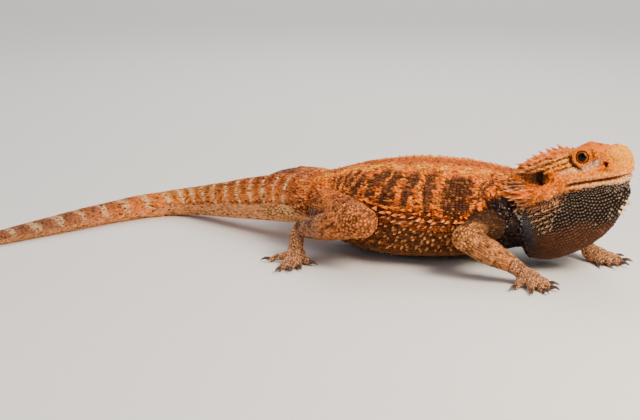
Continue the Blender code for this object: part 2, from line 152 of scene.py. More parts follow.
def curve_through(points: Array, steps: int) -> Array:
    """A Catmull-Rom curve through rows of numbers.

    Args:
        points: the rows that the curve passes through.
        steps: the samples on each span.

    Returns:
        The sampled rows, the last one included.
    """
    rows = np.asarray(points, float)
    ends = np.vstack([2 * rows[0] - rows[1], rows, 2 * rows[-1] - rows[-2]])
    t = np.linspace(0, 1, steps, endpoint=False)[:, None]
    a, b, c, d = (ends[k:len(ends) - 3 + k, None] for k in range(4))
    spans = 0.5 * (2 * b + (c - a) * t + (2 * a - 5 * b + 4 * c - d) * t**2
                   + (3 * b - a - 3 * c + d) * t**3)
    return np.vstack([spans.reshape(-1, rows.shape[1]), rows[-1:]])


def waves(points: Array, length: float, seed: int) -> Array:
    """A soft random field between about -1 and 1: six sine waves in fixed random directions, averaged.

    Args:
        points: places in millimetres, one row each.
        length: the wavelength in millimetres.
        seed: the number that fixes the directions.

    Returns:
        One value for each place.
    """
    rng = np.random.default_rng(seed)
    ways = unit(rng.normal(size=(6, 3))) * rng.uniform(0.7, 1.5, (6, 1))
    phase = rng.uniform(0, math.tau, 6)
    return np.sin(points @ ways.T * (math.tau / length) + phase).sum(1) / 3.0


def linear(code: str) -> Array:
    """An sRGB hex colour as linear red, green and blue."""
    value = np.array([int(code[k:k + 2], 16) for k in (1, 3, 5)]) / 255
    return np.where(value <= 0.04045, value / 12.92, ((value + 0.055) / 1.055) ** 2.4)


def mix(under: Array, over: Array, share: Array) -> Array:
    """The colours under, changed to over by a share from 0 to 1 for each row."""
    return under + (over - under) * np.clip(share, 0, 1)[:, None]


# ---------------------------------------------------------------- meshes


@dataclass
class Surface:
    """A mesh as arrays: its points in millimetres and its triangles or quads."""

    points: Array
    faces: Array

    @staticmethod
    def of_mesh(mesh: bpy.types.Mesh) -> "Surface":
        """The points and triangles of a mesh.

        Args:
            mesh: a mesh in metres.

        Returns:
            The same shape in millimetres.
        """
        points = np.empty(len(mesh.vertices) * 3, np.float32)
        mesh.vertices.foreach_get("co", points)
        mesh.calc_loop_triangles()
        faces = np.empty(len(mesh.loop_triangles) * 3, np.int32)
        mesh.loop_triangles.foreach_get("vertices", faces)
        return Surface(points.reshape(-1, 3) / MM, faces.reshape(-1, 3))

    @staticmethod
    def of_node(name: str) -> "Surface":
        """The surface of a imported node, its loose triangles merged where they meet."""
        loose = Surface.of_mesh(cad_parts[name].data)
        merged, index = np.unique(np.round(loose.points, 3), axis=0, return_inverse=True)
        return Surface(merged.astype(float), index.reshape(-1)[loose.faces])

    @staticmethod
    def facing_out(points: Array, faces: Array) -> "Surface":
        """A closed surface whose triangles are all turned round if the volume that they bound is negative."""
        a, b, c = (points[faces[:, k]] - points.mean(0) for k in range(3))
        inward = np.einsum("ij,ij->i", a, np.cross(b, c)).sum() < 0
        return Surface(points, faces[:, ::-1] if inward else faces)

    @staticmethod
    def joined(parts: list["Surface"]) -> "Surface":
        """Several surfaces of triangles as one list of points and faces."""
        starts = np.cumsum([0, *(len(p.points) for p in parts[:-1])])
        return Surface(np.vstack([p.points for p in parts]),
                       np.vstack([p.faces + n for p, n in zip(parts, starts)]))

    def corner_normals(self) -> Array:
        """The normal at each point: the sum of the area vectors of its triangles, made one long.

        Returns:
            A normal for each point.
        """
        a, b, c = (self.points[self.faces[:, k]] for k in range(3))
        area = np.cross(b - a, c - a)
        total = np.stack([
            sum(np.bincount(self.faces[:, k], area[:, axis], len(self.points)) for k in range(3))
            for axis in range(3)], axis=1)
        return unit(total)

    def centroid(self) -> Array:
        """The middle of the surface, each triangle weighted by its area."""
        a, b, c = (self.points[self.faces[:, k]] for k in range(3))
        area = np.linalg.norm(np.cross(b - a, c - a), axis=1)
        return ((a + b + c) / 3 * area[:, None]).sum(0) / area.sum()

    def to_object(self, name: str, smooth: bool = True) -> bpy.types.Object:
        """Make the Blender object, with its place in its mesh.

        Args:
            name: the object's name.
            smooth: whether its faces are shaded smooth.

        Returns:
            The object, linked to the scene.
        """
        mesh = bpy.data.meshes.new(name)
        width = self.faces.shape[1]
        mesh.vertices.add(len(self.points))
        mesh.vertices.foreach_set("co", (self.points * MM).astype(np.float32).ravel())
        mesh.loops.add(self.faces.size)
        mesh.loops.foreach_set("vertex_index", self.faces.astype(np.int32).ravel())
        mesh.polygons.add(len(self.faces))
        mesh.polygons.foreach_set("loop_start", np.arange(0, self.faces.size, width, dtype=np.int32))
        mesh.update(calc_edges=True)
        mesh.polygons.foreach_set("use_smooth", np.full(len(self.faces), smooth))
        made = bpy.data.objects.new(name, mesh)
        bpy.context.scene.collection.objects.link(made)
        return made


def evaluated(obj: bpy.types.Object) -> Surface:
    """An object's shape after its modifiers, as triangles; the object is removed.

    Args:
        obj: an object that only carries a shape.

    Returns:
        The shape.
    """
    bpy.context.view_layer.update()
    shape = Surface.of_mesh(obj.evaluated_get(bpy.context.evaluated_depsgraph_get()).to_mesh())
    bpy.data.objects.remove(obj)
    return shape


def grid_faces(rows: int, columns: int, ring: bool = False) -> Array:
    """Triangles over a grid of points whose rows close on themselves.

    Each cell between rows i and i + 1 and columns j and j + 1 is cut in two from its first corner.

    Args:
        rows: the number of rows.
        columns: the points in each row.
        ring: whether the last row joins the first.

    Returns:
        The triangles.
    """
    i, j = np.meshgrid(np.arange(rows if ring else rows - 1), np.arange(columns), indexing="ij")
    on_row, on_column = (i + 1) % rows, (j + 1) % columns
    here, beside = i * columns + j, i * columns + on_column
    ahead, across = on_row * columns + j, on_row * columns + on_column
    cells = np.stack([[here, ahead, across], [here, across, beside]])
    return cells.transpose(0, 2, 3, 1).reshape(-1, 3)


def end_faces(rows: int, columns: int) -> Array:
    """Fans that close such a grid: one to the point after its last, and one to the point after that.

    Args:
        rows: the number of rows.
        columns: the points in each row.

    Returns:
        The triangles.
    """
    j = np.arange(columns)
    k, last = (j + 1) % columns, (rows - 1) * columns
    first_end = np.full(columns, rows * columns)
    return np.vstack([np.stack([first_end, j, k], 1), np.stack([first_end + 1, last + k, last + j], 1)])


def swept_ring(centre: Array, across: Array, up: Array, axis: Array, reach: Array, tube: Array,
               sides: int = 10) -> Surface:
    """A closed ring of varying thickness round an axis.

    Its centre line is centre + reach(a) (cos a across + sin a up), and round each point of it runs a
    small circle of radius tube(a) in the plane of the axis and the outward direction.

    Args:
        centre: the middle of the ring.
        across: the first direction in the ring's plane.
        up: the second direction in the ring's plane.
        axis: the direction square to the plane.
        reach: the distance of the centre line from the middle, for each step round.
        tube: the thickness radius for each step round.
        sides: the points round the small circle.

    Returns:
        The ring as triangles facing out.
    """
    a = np.linspace(0, math.tau, len(reach), endpoint=False)
    b = np.linspace(0, math.tau, sides, endpoint=False)
    out = np.cos(a)[:, None] * across + np.sin(a)[:, None] * up
    line = centre + out * np.asarray(reach)[:, None]
    ring = np.cos(b)[None, :, None] * out[:, None] + np.sin(b)[None, :, None] * axis
    points = line[:, None] + ring * np.asarray(tube)[:, None, None]
    return Surface.facing_out(points.reshape(-1, 3), grid_faces(len(reach), sides, ring=True))


def tube_along(path: Array, radii: Array, sides: int = 10, flatten: float = 1.0) -> Surface:
    """A closed tube: circles of the given radii square to a path, with a fan over each end.

    Args:
        path: the centre line, one row each.
        radii: the radius at each row.
        sides: the points round each circle.
        flatten: the height of the section over its width.

    Returns:
        The tube as triangles facing out.
    """
    path, radii = np.asarray(path, float), np.asarray(radii, float)
    along = unit(np.gradient(path, axis=0))
    side = unit(np.cross(along, (0.0, 0.0, 1.0)))
    above = np.cross(side, along)
    b = np.linspace(0, math.tau, sides, endpoint=False)
    ring = np.cos(b)[None, :, None] * side[:, None] + flatten * np.sin(b)[None, :, None] * above[:, None]
    points = path[:, None] + ring * radii[:, None, None]
    faces = np.vstack([grid_faces(len(path), sides), end_faces(len(path), sides)])
    return Surface.facing_out(np.vstack([points.reshape(-1, 3), path[:1], path[-1:]]), faces)


# ---------------------------------------------------------------- frames of the body


@dataclass
class HeadFrame:
    """The head's own frame, found from its eyes and ears."""

    GAZE = (0.16, 1.0, 0.08)  # the left eye's gaze as forward, left and up

    eye_ahead: float = 22.0  # the eyes lie this far in front of the ears
    eye_rise: float = 7.8  # and this far above them
    origin: Array = field(init=False)
    axes: Array = field(init=False)  # rows: forward, left, up
    eyes: dict[str, Array] = field(init=False)
    ears: dict[str, Array] = field(init=False)

    def __post_init__(self) -> None:
        """Find the frame: forward is the line from ears to eyes, turned down by their known rise."""
        def middle(node: str) -> Array:
            """The middle of a node's box."""
            low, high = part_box(node)
            return (np.array(low) + np.array(high)) / 2 / MM

        self.eyes = {side: middle(f"eye_{side}") for side in HANDS}
        self.ears = {side: middle(f"eardrum_{side}") for side in HANDS}
        self.origin = (self.ears["left"] + self.ears["right"]) / 2
        left = unit(self.eyes["left"] - self.eyes["right"])
        line = (self.eyes["left"] + self.eyes["right"]) / 2 - self.origin
        line = unit(line - left * (line @ left))
        raised = np.cross(line, left)
        rise = math.atan2(self.eye_rise, self.eye_ahead)
        forward = math.cos(rise) * line - math.sin(rise) * raised
        up = math.sin(rise) * line + math.cos(rise) * raised
        self.axes = np.array([forward, left, up])

    def of(self, points: Array) -> Array:
        """World points as rows of forward, left and up."""
        return (np.asarray(points) - self.origin) @ self.axes.T

    def folded(self, points: Array) -> Array:
        """How far forward world points lie, how far from the head's middle plane, and how high."""
        forward, left, up = self.of(points).T
        return np.array([forward, np.abs(left), up])

    def world(self, rows: Array) -> Array:
        """Rows of forward, left and up as world points."""
        return self.origin + np.asarray(rows, float) @ self.axes

    def way(self, ahead: float, left: float, up: float) -> Array:
        """The world direction with these parts forward, left and up."""
        return unit(self.world([[ahead, left, up]])[0] - self.origin)

    def gaze(self, side: str) -> tuple[Array, Array]:
        """An eye's direction of gaze, and the direction square to it that points most nearly up."""
        ahead, left, up = self.GAZE
        gaze = self.way(ahead, left * HANDS[side], up)
        return gaze, unit(self.axes[2] - gaze * (self.axes[2] @ gaze))


@dataclass
class Line:
    """A centre line with a frame at each sample: along it, to its left and up."""

    points: Array
    along: Array = field(init=False)
    left: Array = field(init=False)
    up: Array = field(init=False)
    run: Array = field(init=False)

    def __post_init__(self) -> None:
        """Work out directions: left is up crossed with forward, and run is the length so far."""
        self.along = unit(np.gradient(self.points, axis=0))
        self.left = unit(np.cross(self.along, (0.0, 0.0, 1.0)))
        self.up = np.cross(self.left, self.along)
        steps = np.linalg.norm(np.diff(self.points, axis=0), axis=1)
        self.run = np.concatenate([[0.0], np.cumsum(steps)])

    def at(self, run: float) -> tuple[Array, Array, Array, Array]:
        """The point and its three directions at a length along the line."""
        point, *ways = (read_off(run, self.run, a) for a in (self.points, self.along, self.left, self.up))
        return point, *(unit(way) for way in ways)

    def locate(self, points: Array) -> tuple[Array, Array]:
        """Where points lie by the line: the run at the nearest sample and the turn round it.

        Args:
            points: world points.

        Returns:
            The run in millimetres, and the turn in radians from up towards the left.
        """
        run, turn = np.empty(len(points)), np.empty(len(points))
        block_size = 20000  # taken in blocks, to save memory
        for start in range(0, len(points), block_size):
            some = points[start:start + block_size]
            apart = ((some[:, None] - self.points[None]) ** 2).sum(2)
            near = apart.argmin(1)
            rest = some - self.points[near]
            block = slice(start, start + len(some))
            run[block] = self.run[near] + np.einsum("ij,ij->i", rest, self.along[near])
            turn[block] = np.arctan2(np.einsum("ij,ij->i", rest, self.left[near]),
                                     np.einsum("ij,ij->i", rest, self.up[near]))
        return run, turn


def joint_between(one: Surface, other: Surface) -> Array:
    """The middle of the places where two nodes face each other, as closely as they do anywhere.

    Args:
        one: a node.
        other: the node that it meets.

    Returns:
        The place of the joint.
    """
    slack = 1.6
    apart = np.linalg.norm(one.points[:, None] - other.points[None], axis=2)
    reach = apart.min() + slack
    near = np.vstack([one.points[apart.min(1) < reach], other.points[apart.min(0) < reach]])
    return (near.min(0) + near.max(0)) / 2


# ---------------------------------------------------------------- the hide


@dataclass
class Body:
    """Where everything lies: the head's frame, the spine's line and a line along each limb."""

    nodes: dict[str, Surface] = field(init=False)
    head: HeadFrame = field(default_factory=HeadFrame)
    spine: Line = field(init=False)
    limbs: dict[str, Line] = field(init=False)
    neck_lead: float = 26.0  # the spine's line starts this far in front of the neck's middle
    neck_rise: float = 6.0  # and this far above it
    shoulder_sample: int = 18  # the sample of the spine's line from which slices are clear of the shoulders
    slice_depth: float = 2.0  # half the thickness of a slice
    slice_reach: float = 62.0  # no part of the trunk lies farther from the spine's line

    def __post_init__(self) -> None:
        """Draw the lines through the middles of the nodes."""
        self.nodes = {name: Surface.of_node(name) for name in FLESH}
        middles = [self.nodes[name].centroid() for name in AXIAL_NODES]
        last = self.nodes["tail_6"].points
        tip = last[np.linalg.norm(last - middles[-2], axis=1).argmax()]
        forward = unit(middles[0] - middles[1])
        start = middles[0] + forward * self.neck_lead + np.array([0, 0, self.neck_rise])
        self.spine = Line(curve_through(np.array([start, *middles, tip]), 12))
        self.limbs = {}
        for limb, names in LIMB_NODES.items():
            upper, lower, paw = (self.nodes[n] for n in names)
            trunk = self.nodes["neck" if limb.startswith("front") else "pelvis"]
            root = trunk.centroid() * 0.45 + upper.centroid() * 0.55
            knee, ankle = joint_between(upper, lower), joint_between(lower, paw)
            line = np.array([root, upper.centroid(), knee, lower.centroid(), ankle, paw.centroid()])
            self.limbs[limb] = Line(curve_through(line, 8))

    def centre_spine(self, points: Array) -> None:
        """Move the spine's line to the middle of the body's slices, from the shoulders back.

        Each sample goes to the middle of the box, in its own left and up directions, of the points
        that lie within a thin slice there; then the line is smoothed. The neck's stretch, where a slice
        would catch the shoulders, is a plain curve into the head.

        Args:
            points: the points of the hide round the neck, trunk and tail.
        """
        first, least = self.shoulder_sample, 12
        for _ in range(2):
            line = self.spine
            moved = line.points.copy()
            for k in range(first, len(moved) - 4):
                rest = points - line.points[k]
                near = np.abs(rest @ line.along[k]) < self.slice_depth
                near &= np.linalg.norm(rest, axis=1) < self.slice_reach
                if near.sum() > least:
                    for way in (line.left[k], line.up[k]):
                        span = rest[near] @ way
                        moved[k] += way * (span.min() + span.max()) / 2
            middle = (moved[0] + moved[first]) / 2 - np.array([0, 0, 1.5])
            moved[:first + 1] = curve_through(np.array([moved[0], middle, moved[first]]), first // 2)
            for _ in range(4):
                moved[1:-1] = (moved[:-2] + 2 * moved[1:-1] + moved[2:]) / 4
            self.spine = Line(moved)


class Neighbours:
    """The edges of a surface, for means over the neighbours of each point."""

    def __init__(self, surface: Surface) -> None:
        """List the two ends of every edge, each edge once, and count the edges at each point.

        Args:
            surface: the surface whose edges are listed.
        """
        faces, count = surface.faces, len(surface.points)
        ends = np.sort(np.concatenate([faces[:, [0, 1]], faces[:, [1, 2]], faces[:, [2, 0]]]), axis=1)
        keys = np.unique(ends[:, 0].astype(np.int64) * count + ends[:, 1])
        self.one, self.other = keys // count, keys % count
        degree = np.bincount(self.one, minlength=count) + np.bincount(self.other, minlength=count)
        self.degree = np.maximum(degree, 1)

    def mean(self, values: Array) -> Array:
        """The mean over each point's neighbours of a number, or of each number in a row.

        Args:
            values: a number or a row of numbers for each point.

        Returns:
            The means, in the same shape.
        """
        count = len(values)
        sums = [np.bincount(self.one, column[self.other], count)
                + np.bincount(self.other, column[self.one], count)
                for column in values.reshape(count, -1).T]
        return (np.stack(sums, 1) / self.degree[:, None]).reshape(values.shape)

    def blend(self, values: Array, times: int) -> Array:
        """Numbers smoothed over the surface: each goes half way to its neighbours' mean, some times over."""
        for _ in range(times):
            values = 0.5 * values + 0.5 * self.mean(values)
        return values


FINE_VOXEL = 0.52  # the cell of the melted skin in full detail


@dataclass
class Hide:
    """The one skin over all the flesh, melted from the nodes, smoothed, sculpted and sunk."""

    MOUTH_AT = (-9.0, 6.0, 16.0, 24.0, 34.0, 45.0, 56.0)  # forward in the head's frame
    MOUTH_UP = (-11.0, -7.2, -5.2, -5.1, -5.2, -5.2, -5.3)  # and the height of the mouth line there

    body: Body
    voxel: float = FINE_VOXEL
    swell: float = 0.36  # closes the thin cuts between the nodes
    floor_gap: float = 0.12  # the skin stays this far above the floor, on its scales
    nostril: tuple[float, float] = (33.4, 2.5)  # forward and up in the head's frame
    most_triangles: int = 186000
    girth_reach: float = 80.0  # longer than any ray from inside the flesh to the skin
    coat_depth: dict[Region, float] = field(default_factory=lambda: {
        Region.HEAD: 0.25, Region.JAW: 0.25, Region.BEARD: 0.4, Region.NECK: 0.4, Region.TRUNK: 0.5,
        Region.TAIL: 0.35, Region.ARM: 0.3, Region.LEG: 0.35, Region.HAND: 0.1, Region.FOOT: 0.1})
    smoothing: dict[Region, int] = field(default_factory=lambda: {
        Region.HEAD: 7, Region.JAW: 8, Region.BEARD: 40, Region.NECK: 40, Region.TRUNK: 70,
        Region.TAIL: 40, Region.ARM: 16, Region.LEG: 22, Region.HAND: 4, Region.FOOT: 4})
    surface: Surface = field(init=False)
    normals: Array = field(init=False)
    labels: Array = field(init=False)  # the node number, from FLESH, nearest to each point
    regions: Array = field(init=False)
    tree: BVHTree = field(init=False)

    def build(self) -> bpy.types.Object:
        """Make the skin.

        Returns:
            The skin as an object, thinned to its number of triangles.
        """
        self.surface = self.melt()
        self.label()
        axial = np.isin(self.labels, numbers_of(AXIAL_NODES))
        self.body.centre_spine(self.surface.points[axial])
        self.relax()
        self.sculpt()
        self.sink()
        skin = self.thin()
        self.read_back(skin)
        return skin

    def melt(self) -> Surface:
        """All nodes swollen to touch, with lids and rims added, remeshed as one closed skin.

        Returns:
            The melted skin.
        """
        parts = []
        for name in FLESH:
            node = self.body.nodes[name]
            parts.append(Surface(node.points + node.corner_normals() * self.swell, node.faces))
        parts += self.lids_and_rims()
        whole = Surface.joined(parts).to_object("melting")
        melted = whole.modifiers.new("melt", "REMESH")
        melted.mode = "VOXEL"
        melted.voxel_size = self.voxel * MM
        return evaluated(whole)

    def lids_and_rims(self) -> list[Surface]:
        """Eyelids hugging each eyeball, and the raised rims of ears and nostrils.

        Returns:
            Closed rings, to be melted with the flesh.
        """
        head = self.body.head
        made = []
        a = np.linspace(0, math.tau, 40, endpoint=False)
        beside, above = np.abs(np.cos(a)), np.sin(a)
        below, top = 0.5 - 0.5 * above, np.maximum(above, 0) ** 2
        lid = 4.4 + 0.2 * beside + 0.1 * below  # the reach of the lids' edge round the eyeball
        for side, hand in HANDS.items():
            gaze, up = head.gaze(side)
            across = np.cross(up, gaze) * -hand
            eye = head.eyes[side]
            made.append(swept_ring(eye + gaze * 3.05, across, up, gaze, lid - 0.3 * top,
                                   1.3 + 0.3 * below - 0.35 * top))
            made.append(swept_ring(eye + gaze * 1.9, across, up, gaze, lid + 1.0 - 1.3 * top,
                                   1.25 + 0.2 * below - 0.2 * top))
            ear = head.world([[5.0, hand * 18.4, -0.2]])[0]
            out = head.way(-0.1, hand, 0.05)
            made.append(swept_ring(ear - out * 0.2, head.axes[0], head.axes[2], out,
                                   3.0 + 0.75 * np.abs(above), 0.95 + 0 * a))
            nose = head.world([[self.nostril[0], hand * 8.3, self.nostril[1]]])[0]
            out = head.way(0.4, hand, 0.3)
            made.append(swept_ring(nose, np.cross(head.axes[2], out), head.axes[2], out,
                                   1.75 + 0.4 * np.abs(above), 0.9 + 0 * a))
        return made

    def label(self) -> None:
        """Name each point for the flesh node whose surface is nearest."""
        owner = np.concatenate([np.full(len(self.body.nodes[n].faces), k) for k, n in enumerate(FLESH)])
        flesh = Surface.joined([self.body.nodes[n] for n in FLESH])
        tree = BVHTree.FromPolygons(flesh.points.tolist(), flesh.faces.tolist())
        found = [tree.find_nearest(p)[2] for p in self.surface.points.tolist()]
        self.labels = owner[np.array(found)]
        lookup = np.array([region_of(n).value for n in FLESH])
        self.regions = lookup[self.labels]

    def relax(self) -> None:
        """Smooth out facets and cuts: each point moves towards the mean of its neighbours.

        Every second step moves outwards by a little more, so that the body keeps its girth. A region
        takes part in as many steps as its own figure says.
        """
        inward, outward, edges = 0.6, -0.42, Neighbours(self.surface)
        scale = (FINE_VOXEL / self.voxel) ** 2
        steps = np.zeros(len(self.surface.points))
        for region, number in self.smoothing.items():
            steps[self.regions == region.value] = max(2, round(number * scale))
        steps = edges.blend(steps, 6)
        points = self.surface.points
        for step in range(int(max(steps) + 1)):
            active = (steps > step)[:, None]
            pull = edges.mean(points) - points
            points = points + active * pull * (inward if step % 2 == 0 else outward)
        self.surface.points = points

    def sculpt(self) -> None:
        """Press in and raise small forms: those of the face, the jaw's angle, and folds of the skin."""
        points, normals = self.surface.points, self.surface.corner_normals()
        u, v, w = self.body.head.folded(points)
        facial = self.regions <= Region.BEARD.value
        lift = facial * self.facial_relief(points)
        # the swelling at the jaw's angle, the notch behind it, and the pit of the ear
        angle = bump(w, -8.5, 4.5) * ramp(v, 12, 16)
        lift += angle * (1.5 * bump(u, -10.5, 3.6) - 1.6 * bump(u, -19.5, 3.0))
        lift -= 0.8 * ramp(v, 10, 14) * bump(u, -6.5, 4.5) * bump(w, 2.0, 2.2)
        # the ledge of the fringe along each flank, and folds on neck and trunk
        run, turn = self.body.spine.locate(points)
        trunk = np.isin(self.regions, [Region.TRUNK.value, Region.NECK.value])
        girth = np.abs(turn) / math.pi
        ledge = 0.9 * bump(girth, 0.5, 0.035) - 0.7 * bump(girth, 0.58, 0.04)
        lift += trunk * ledge * ramp(run, 30, 50) * ramp(165 - run, 0, 30)
        folds = np.sin(run / 5.2 * math.tau / 1.7 + 2.0 * waves(points, 30, 5))
        lift += 0.5 * (self.regions == Region.NECK.value) * ramp(girth, 0.25, 0.5) * folds
        lift += trunk * 0.22 * waves(points, 16, 9)
        points += normals * lift[:, None]

    def facial_relief(self, points: Array) -> Array:
        """The rise of the face's small forms over the smoothed flesh.

        Args:
            points: world points of the skin.

        Returns:
            The rise in millimetres, below 0 for grooves and pits.
        """
        u, v, w = self.body.head.folded(points)
        off = w - self.mouth_height(u)
        lips = 0.4 * (bump(off, 1.5, 1.0) + bump(off, -1.6, 1.0)) - 1.15 * bump(off, 0, 0.85)
        lift = ramp(u, 12, 17) * ramp(u, 10, 16) * lips
        ahead, above = u - self.nostril[0], w - self.nostril[1]
        lift -= 1.9 * np.exp(-((ahead / 1.05) ** 2 + (above / 1.25) ** 2)) * (v > 4.5)
        lift -= 0.35 * (v > 5) * bump(ahead, 0.5, 4.5) * bump(above + 0.1 * ahead, -2.6, 0.8)
        for side, hand in HANDS.items():  # the crease behind each eye
            rest = (points - self.body.head.eyes[side]) @ self.body.head.axes.T
            flat = np.hypot(rest[:, 0], rest[:, 2])
            behind = ramp((-rest[:, 0] - 0.5 * rest[:, 2]) / np.maximum(flat, 0.1), 0.5, 0.95)
            lift -= 0.8 * (rest[:, 1] * hand > -1) * bump(flat, 6.3, 0.8) * behind
        lift -= 0.4 * bump(u, 25, 9) * ramp(w, 9.5, 12.0) * ramp(v, 3, 6)  # the flat of the brow
        lift += 2.0 * bump(u, 40.5, 6.5) * ramp(w, 2.5, 6.0)  # the raised top of the snout
        lift -= 0.45 * (v > 9) * bump(u + 0.5 * w, 20.5, 1.0) * ramp(w, 0, 3) * ramp(11 - w, 0, 3)
        lift -= 0.35 * bump(v, 0, 2.2) * ramp(u, 8, 20) * ramp(46 - u, 0, 10) * (w > 4)
        return lift

    @staticmethod
    def mouth_height(u: Array) -> Array:
        """The height of the mouth line in the head's frame at each place along it."""
        return np.interp(u, Hide.MOUTH_AT, Hide.MOUTH_UP)

    def sink(self) -> None:
        """Draw the skin in by what it was swollen and by the coat's depth, and keep it off the floor."""
        depth = np.zeros(len(self.surface.points))
        for region, amount in self.coat_depth.items():
            depth[self.regions == region.value] = amount + self.swell
        depth = Neighbours(self.surface).blend(depth, 8)
        self.surface.points -= self.surface.corner_normals() * depth[:, None]
        self.surface.points[:, 2] = np.maximum(self.surface.points[:, 2], self.floor_gap)

    def thin(self) -> bpy.types.Object:
        """Collapse edges down to the triangle count, keeping the head and paws finest.

        Returns:
            The thinned skin.
        """
        skin = self.surface.to_object("hide")
        keep = np.array([{Region.HEAD: 0.12, Region.JAW: 0.15, Region.HAND: 0.3, Region.FOOT: 0.3,
                          Region.BEARD: 0.6, Region.ARM: 0.7, Region.LEG: 0.8}.get(r, 1.0) for r in Region])
        group = skin.vertex_groups.new(name="thin")
        for level in np.unique(keep):
            wanted = np.flatnonzero(keep[self.regions] == level)
            group.add(wanted.tolist(), float(level), "REPLACE")
        modifier = skin.modifiers.new("thin", "DECIMATE")
        modifier.ratio = min(1.0, self.most_triangles / len(self.surface.faces))
        modifier.vertex_group = "thin"
        modifier.use_collapse_triangulate = True
        graph = bpy.context.evaluated_depsgraph_get()
        mesh = bpy.data.meshes.new_from_object(skin.evaluated_get(graph))
        skin.modifiers.clear()
        skin.vertex_groups.clear()
        skin.data = mesh
        mesh.name = "hide"
        mesh.polygons.foreach_set("use_smooth", np.ones(len(mesh.polygons), bool))
        return skin

    def read_back(self, skin: bpy.types.Object) -> None:
        """Keep the finished skin off the floor, and take its points, normals, labels and search tree.

        Args:
            skin: the thinned skin.
        """
        self.surface = Surface.of_mesh(skin.data)
        self.surface.points[:, 2] = np.maximum(self.surface.points[:, 2], self.floor_gap)
        skin.data.vertices.foreach_set("co", (self.surface.points * MM).astype(np.float32).ravel())
        skin.data.update()
        self.normals = self.surface.corner_normals()
        self.label()
        self.tree = BVHTree.FromPolygons(self.surface.points.tolist(), self.surface.faces.tolist())

    def read_hits(self, found: list, spare: Array) -> tuple[Array, Array, Array]:
        """What searches of the skin's tree found, as arrays.

        Args:
            found: place, normal, triangle and distance from each search, or None for each.
            spare: the place that stands in where nothing was found.

        Returns:
            The places, the three corners of the triangle at each, and which searches found one.
        """
        good = np.array([hit[0] is not None for hit in found])
        where = np.array([other if hit[0] is None else hit[0]
                          for hit, other in zip(found, spare.tolist())])
        return where, self.surface.faces[np.array([hit[2] or 0 for hit in found])], good

    def land(self, points: Array, reach: float = 12.0) -> tuple[Array, Array, Array, Array]:
        """Drop points on the nearest skin.

        Args:
            points: world points near the skin.
            reach: the farthest that a point may be moved.

        Returns:
            The landed points, their smooth normals, their label numbers, and which of them landed.
        """
        found = [self.tree.find_nearest(p, reach) for p in points.tolist()]
        where, corners, good = self.read_hits(found, points)
        apart = np.linalg.norm(self.surface.points[corners] - where[:, None], axis=2) + 1e-3
        weight = (1 / apart) / (1 / apart).sum(1, keepdims=True)
        normals = unit((self.normals[corners] * weight[..., None]).sum(1))
        return where, normals, self.labels[corners[:, 0]], good

    def cast(self, starts: Array, ways: Array) -> tuple[Array, Array, Array]:
        """Where rays from inside the flesh leave it.

        Args:
            starts: a place inside the flesh for each ray.
            ways: the ray directions, each of length one.

        Returns:
            The places hit, their label numbers, and which rays hit.
        """
        found = [self.tree.ray_cast(Vector(start), Vector(way), self.girth_reach)
                 for start, way in zip(starts.tolist(), ways.tolist())]
        where, corners, good = self.read_hits(found, starts)
        return where, self.labels[corners[:, 0]], good

    def scan(self, origin: Array, first: Array, second: Array, rays: int) -> tuple[Array, Array, Array]:
        """A section of the skin: rays from a point, turned from first towards second.

        Args:
            origin: where the rays start, inside the flesh.
            first: the direction of the first ray.
            second: the direction a quarter turn on.
            rays: how many rays make the whole turn.

        Returns:
            The places hit, their label numbers, and which rays hit.
        """
        angle = np.arange(rays) * math.tau / rays
        ways = np.cos(angle)[:, None] * first + np.sin(angle)[:, None] * second
        return self.cast(np.tile(origin, (rays, 1)), ways)


# ---------------------------------------------------------------- markings


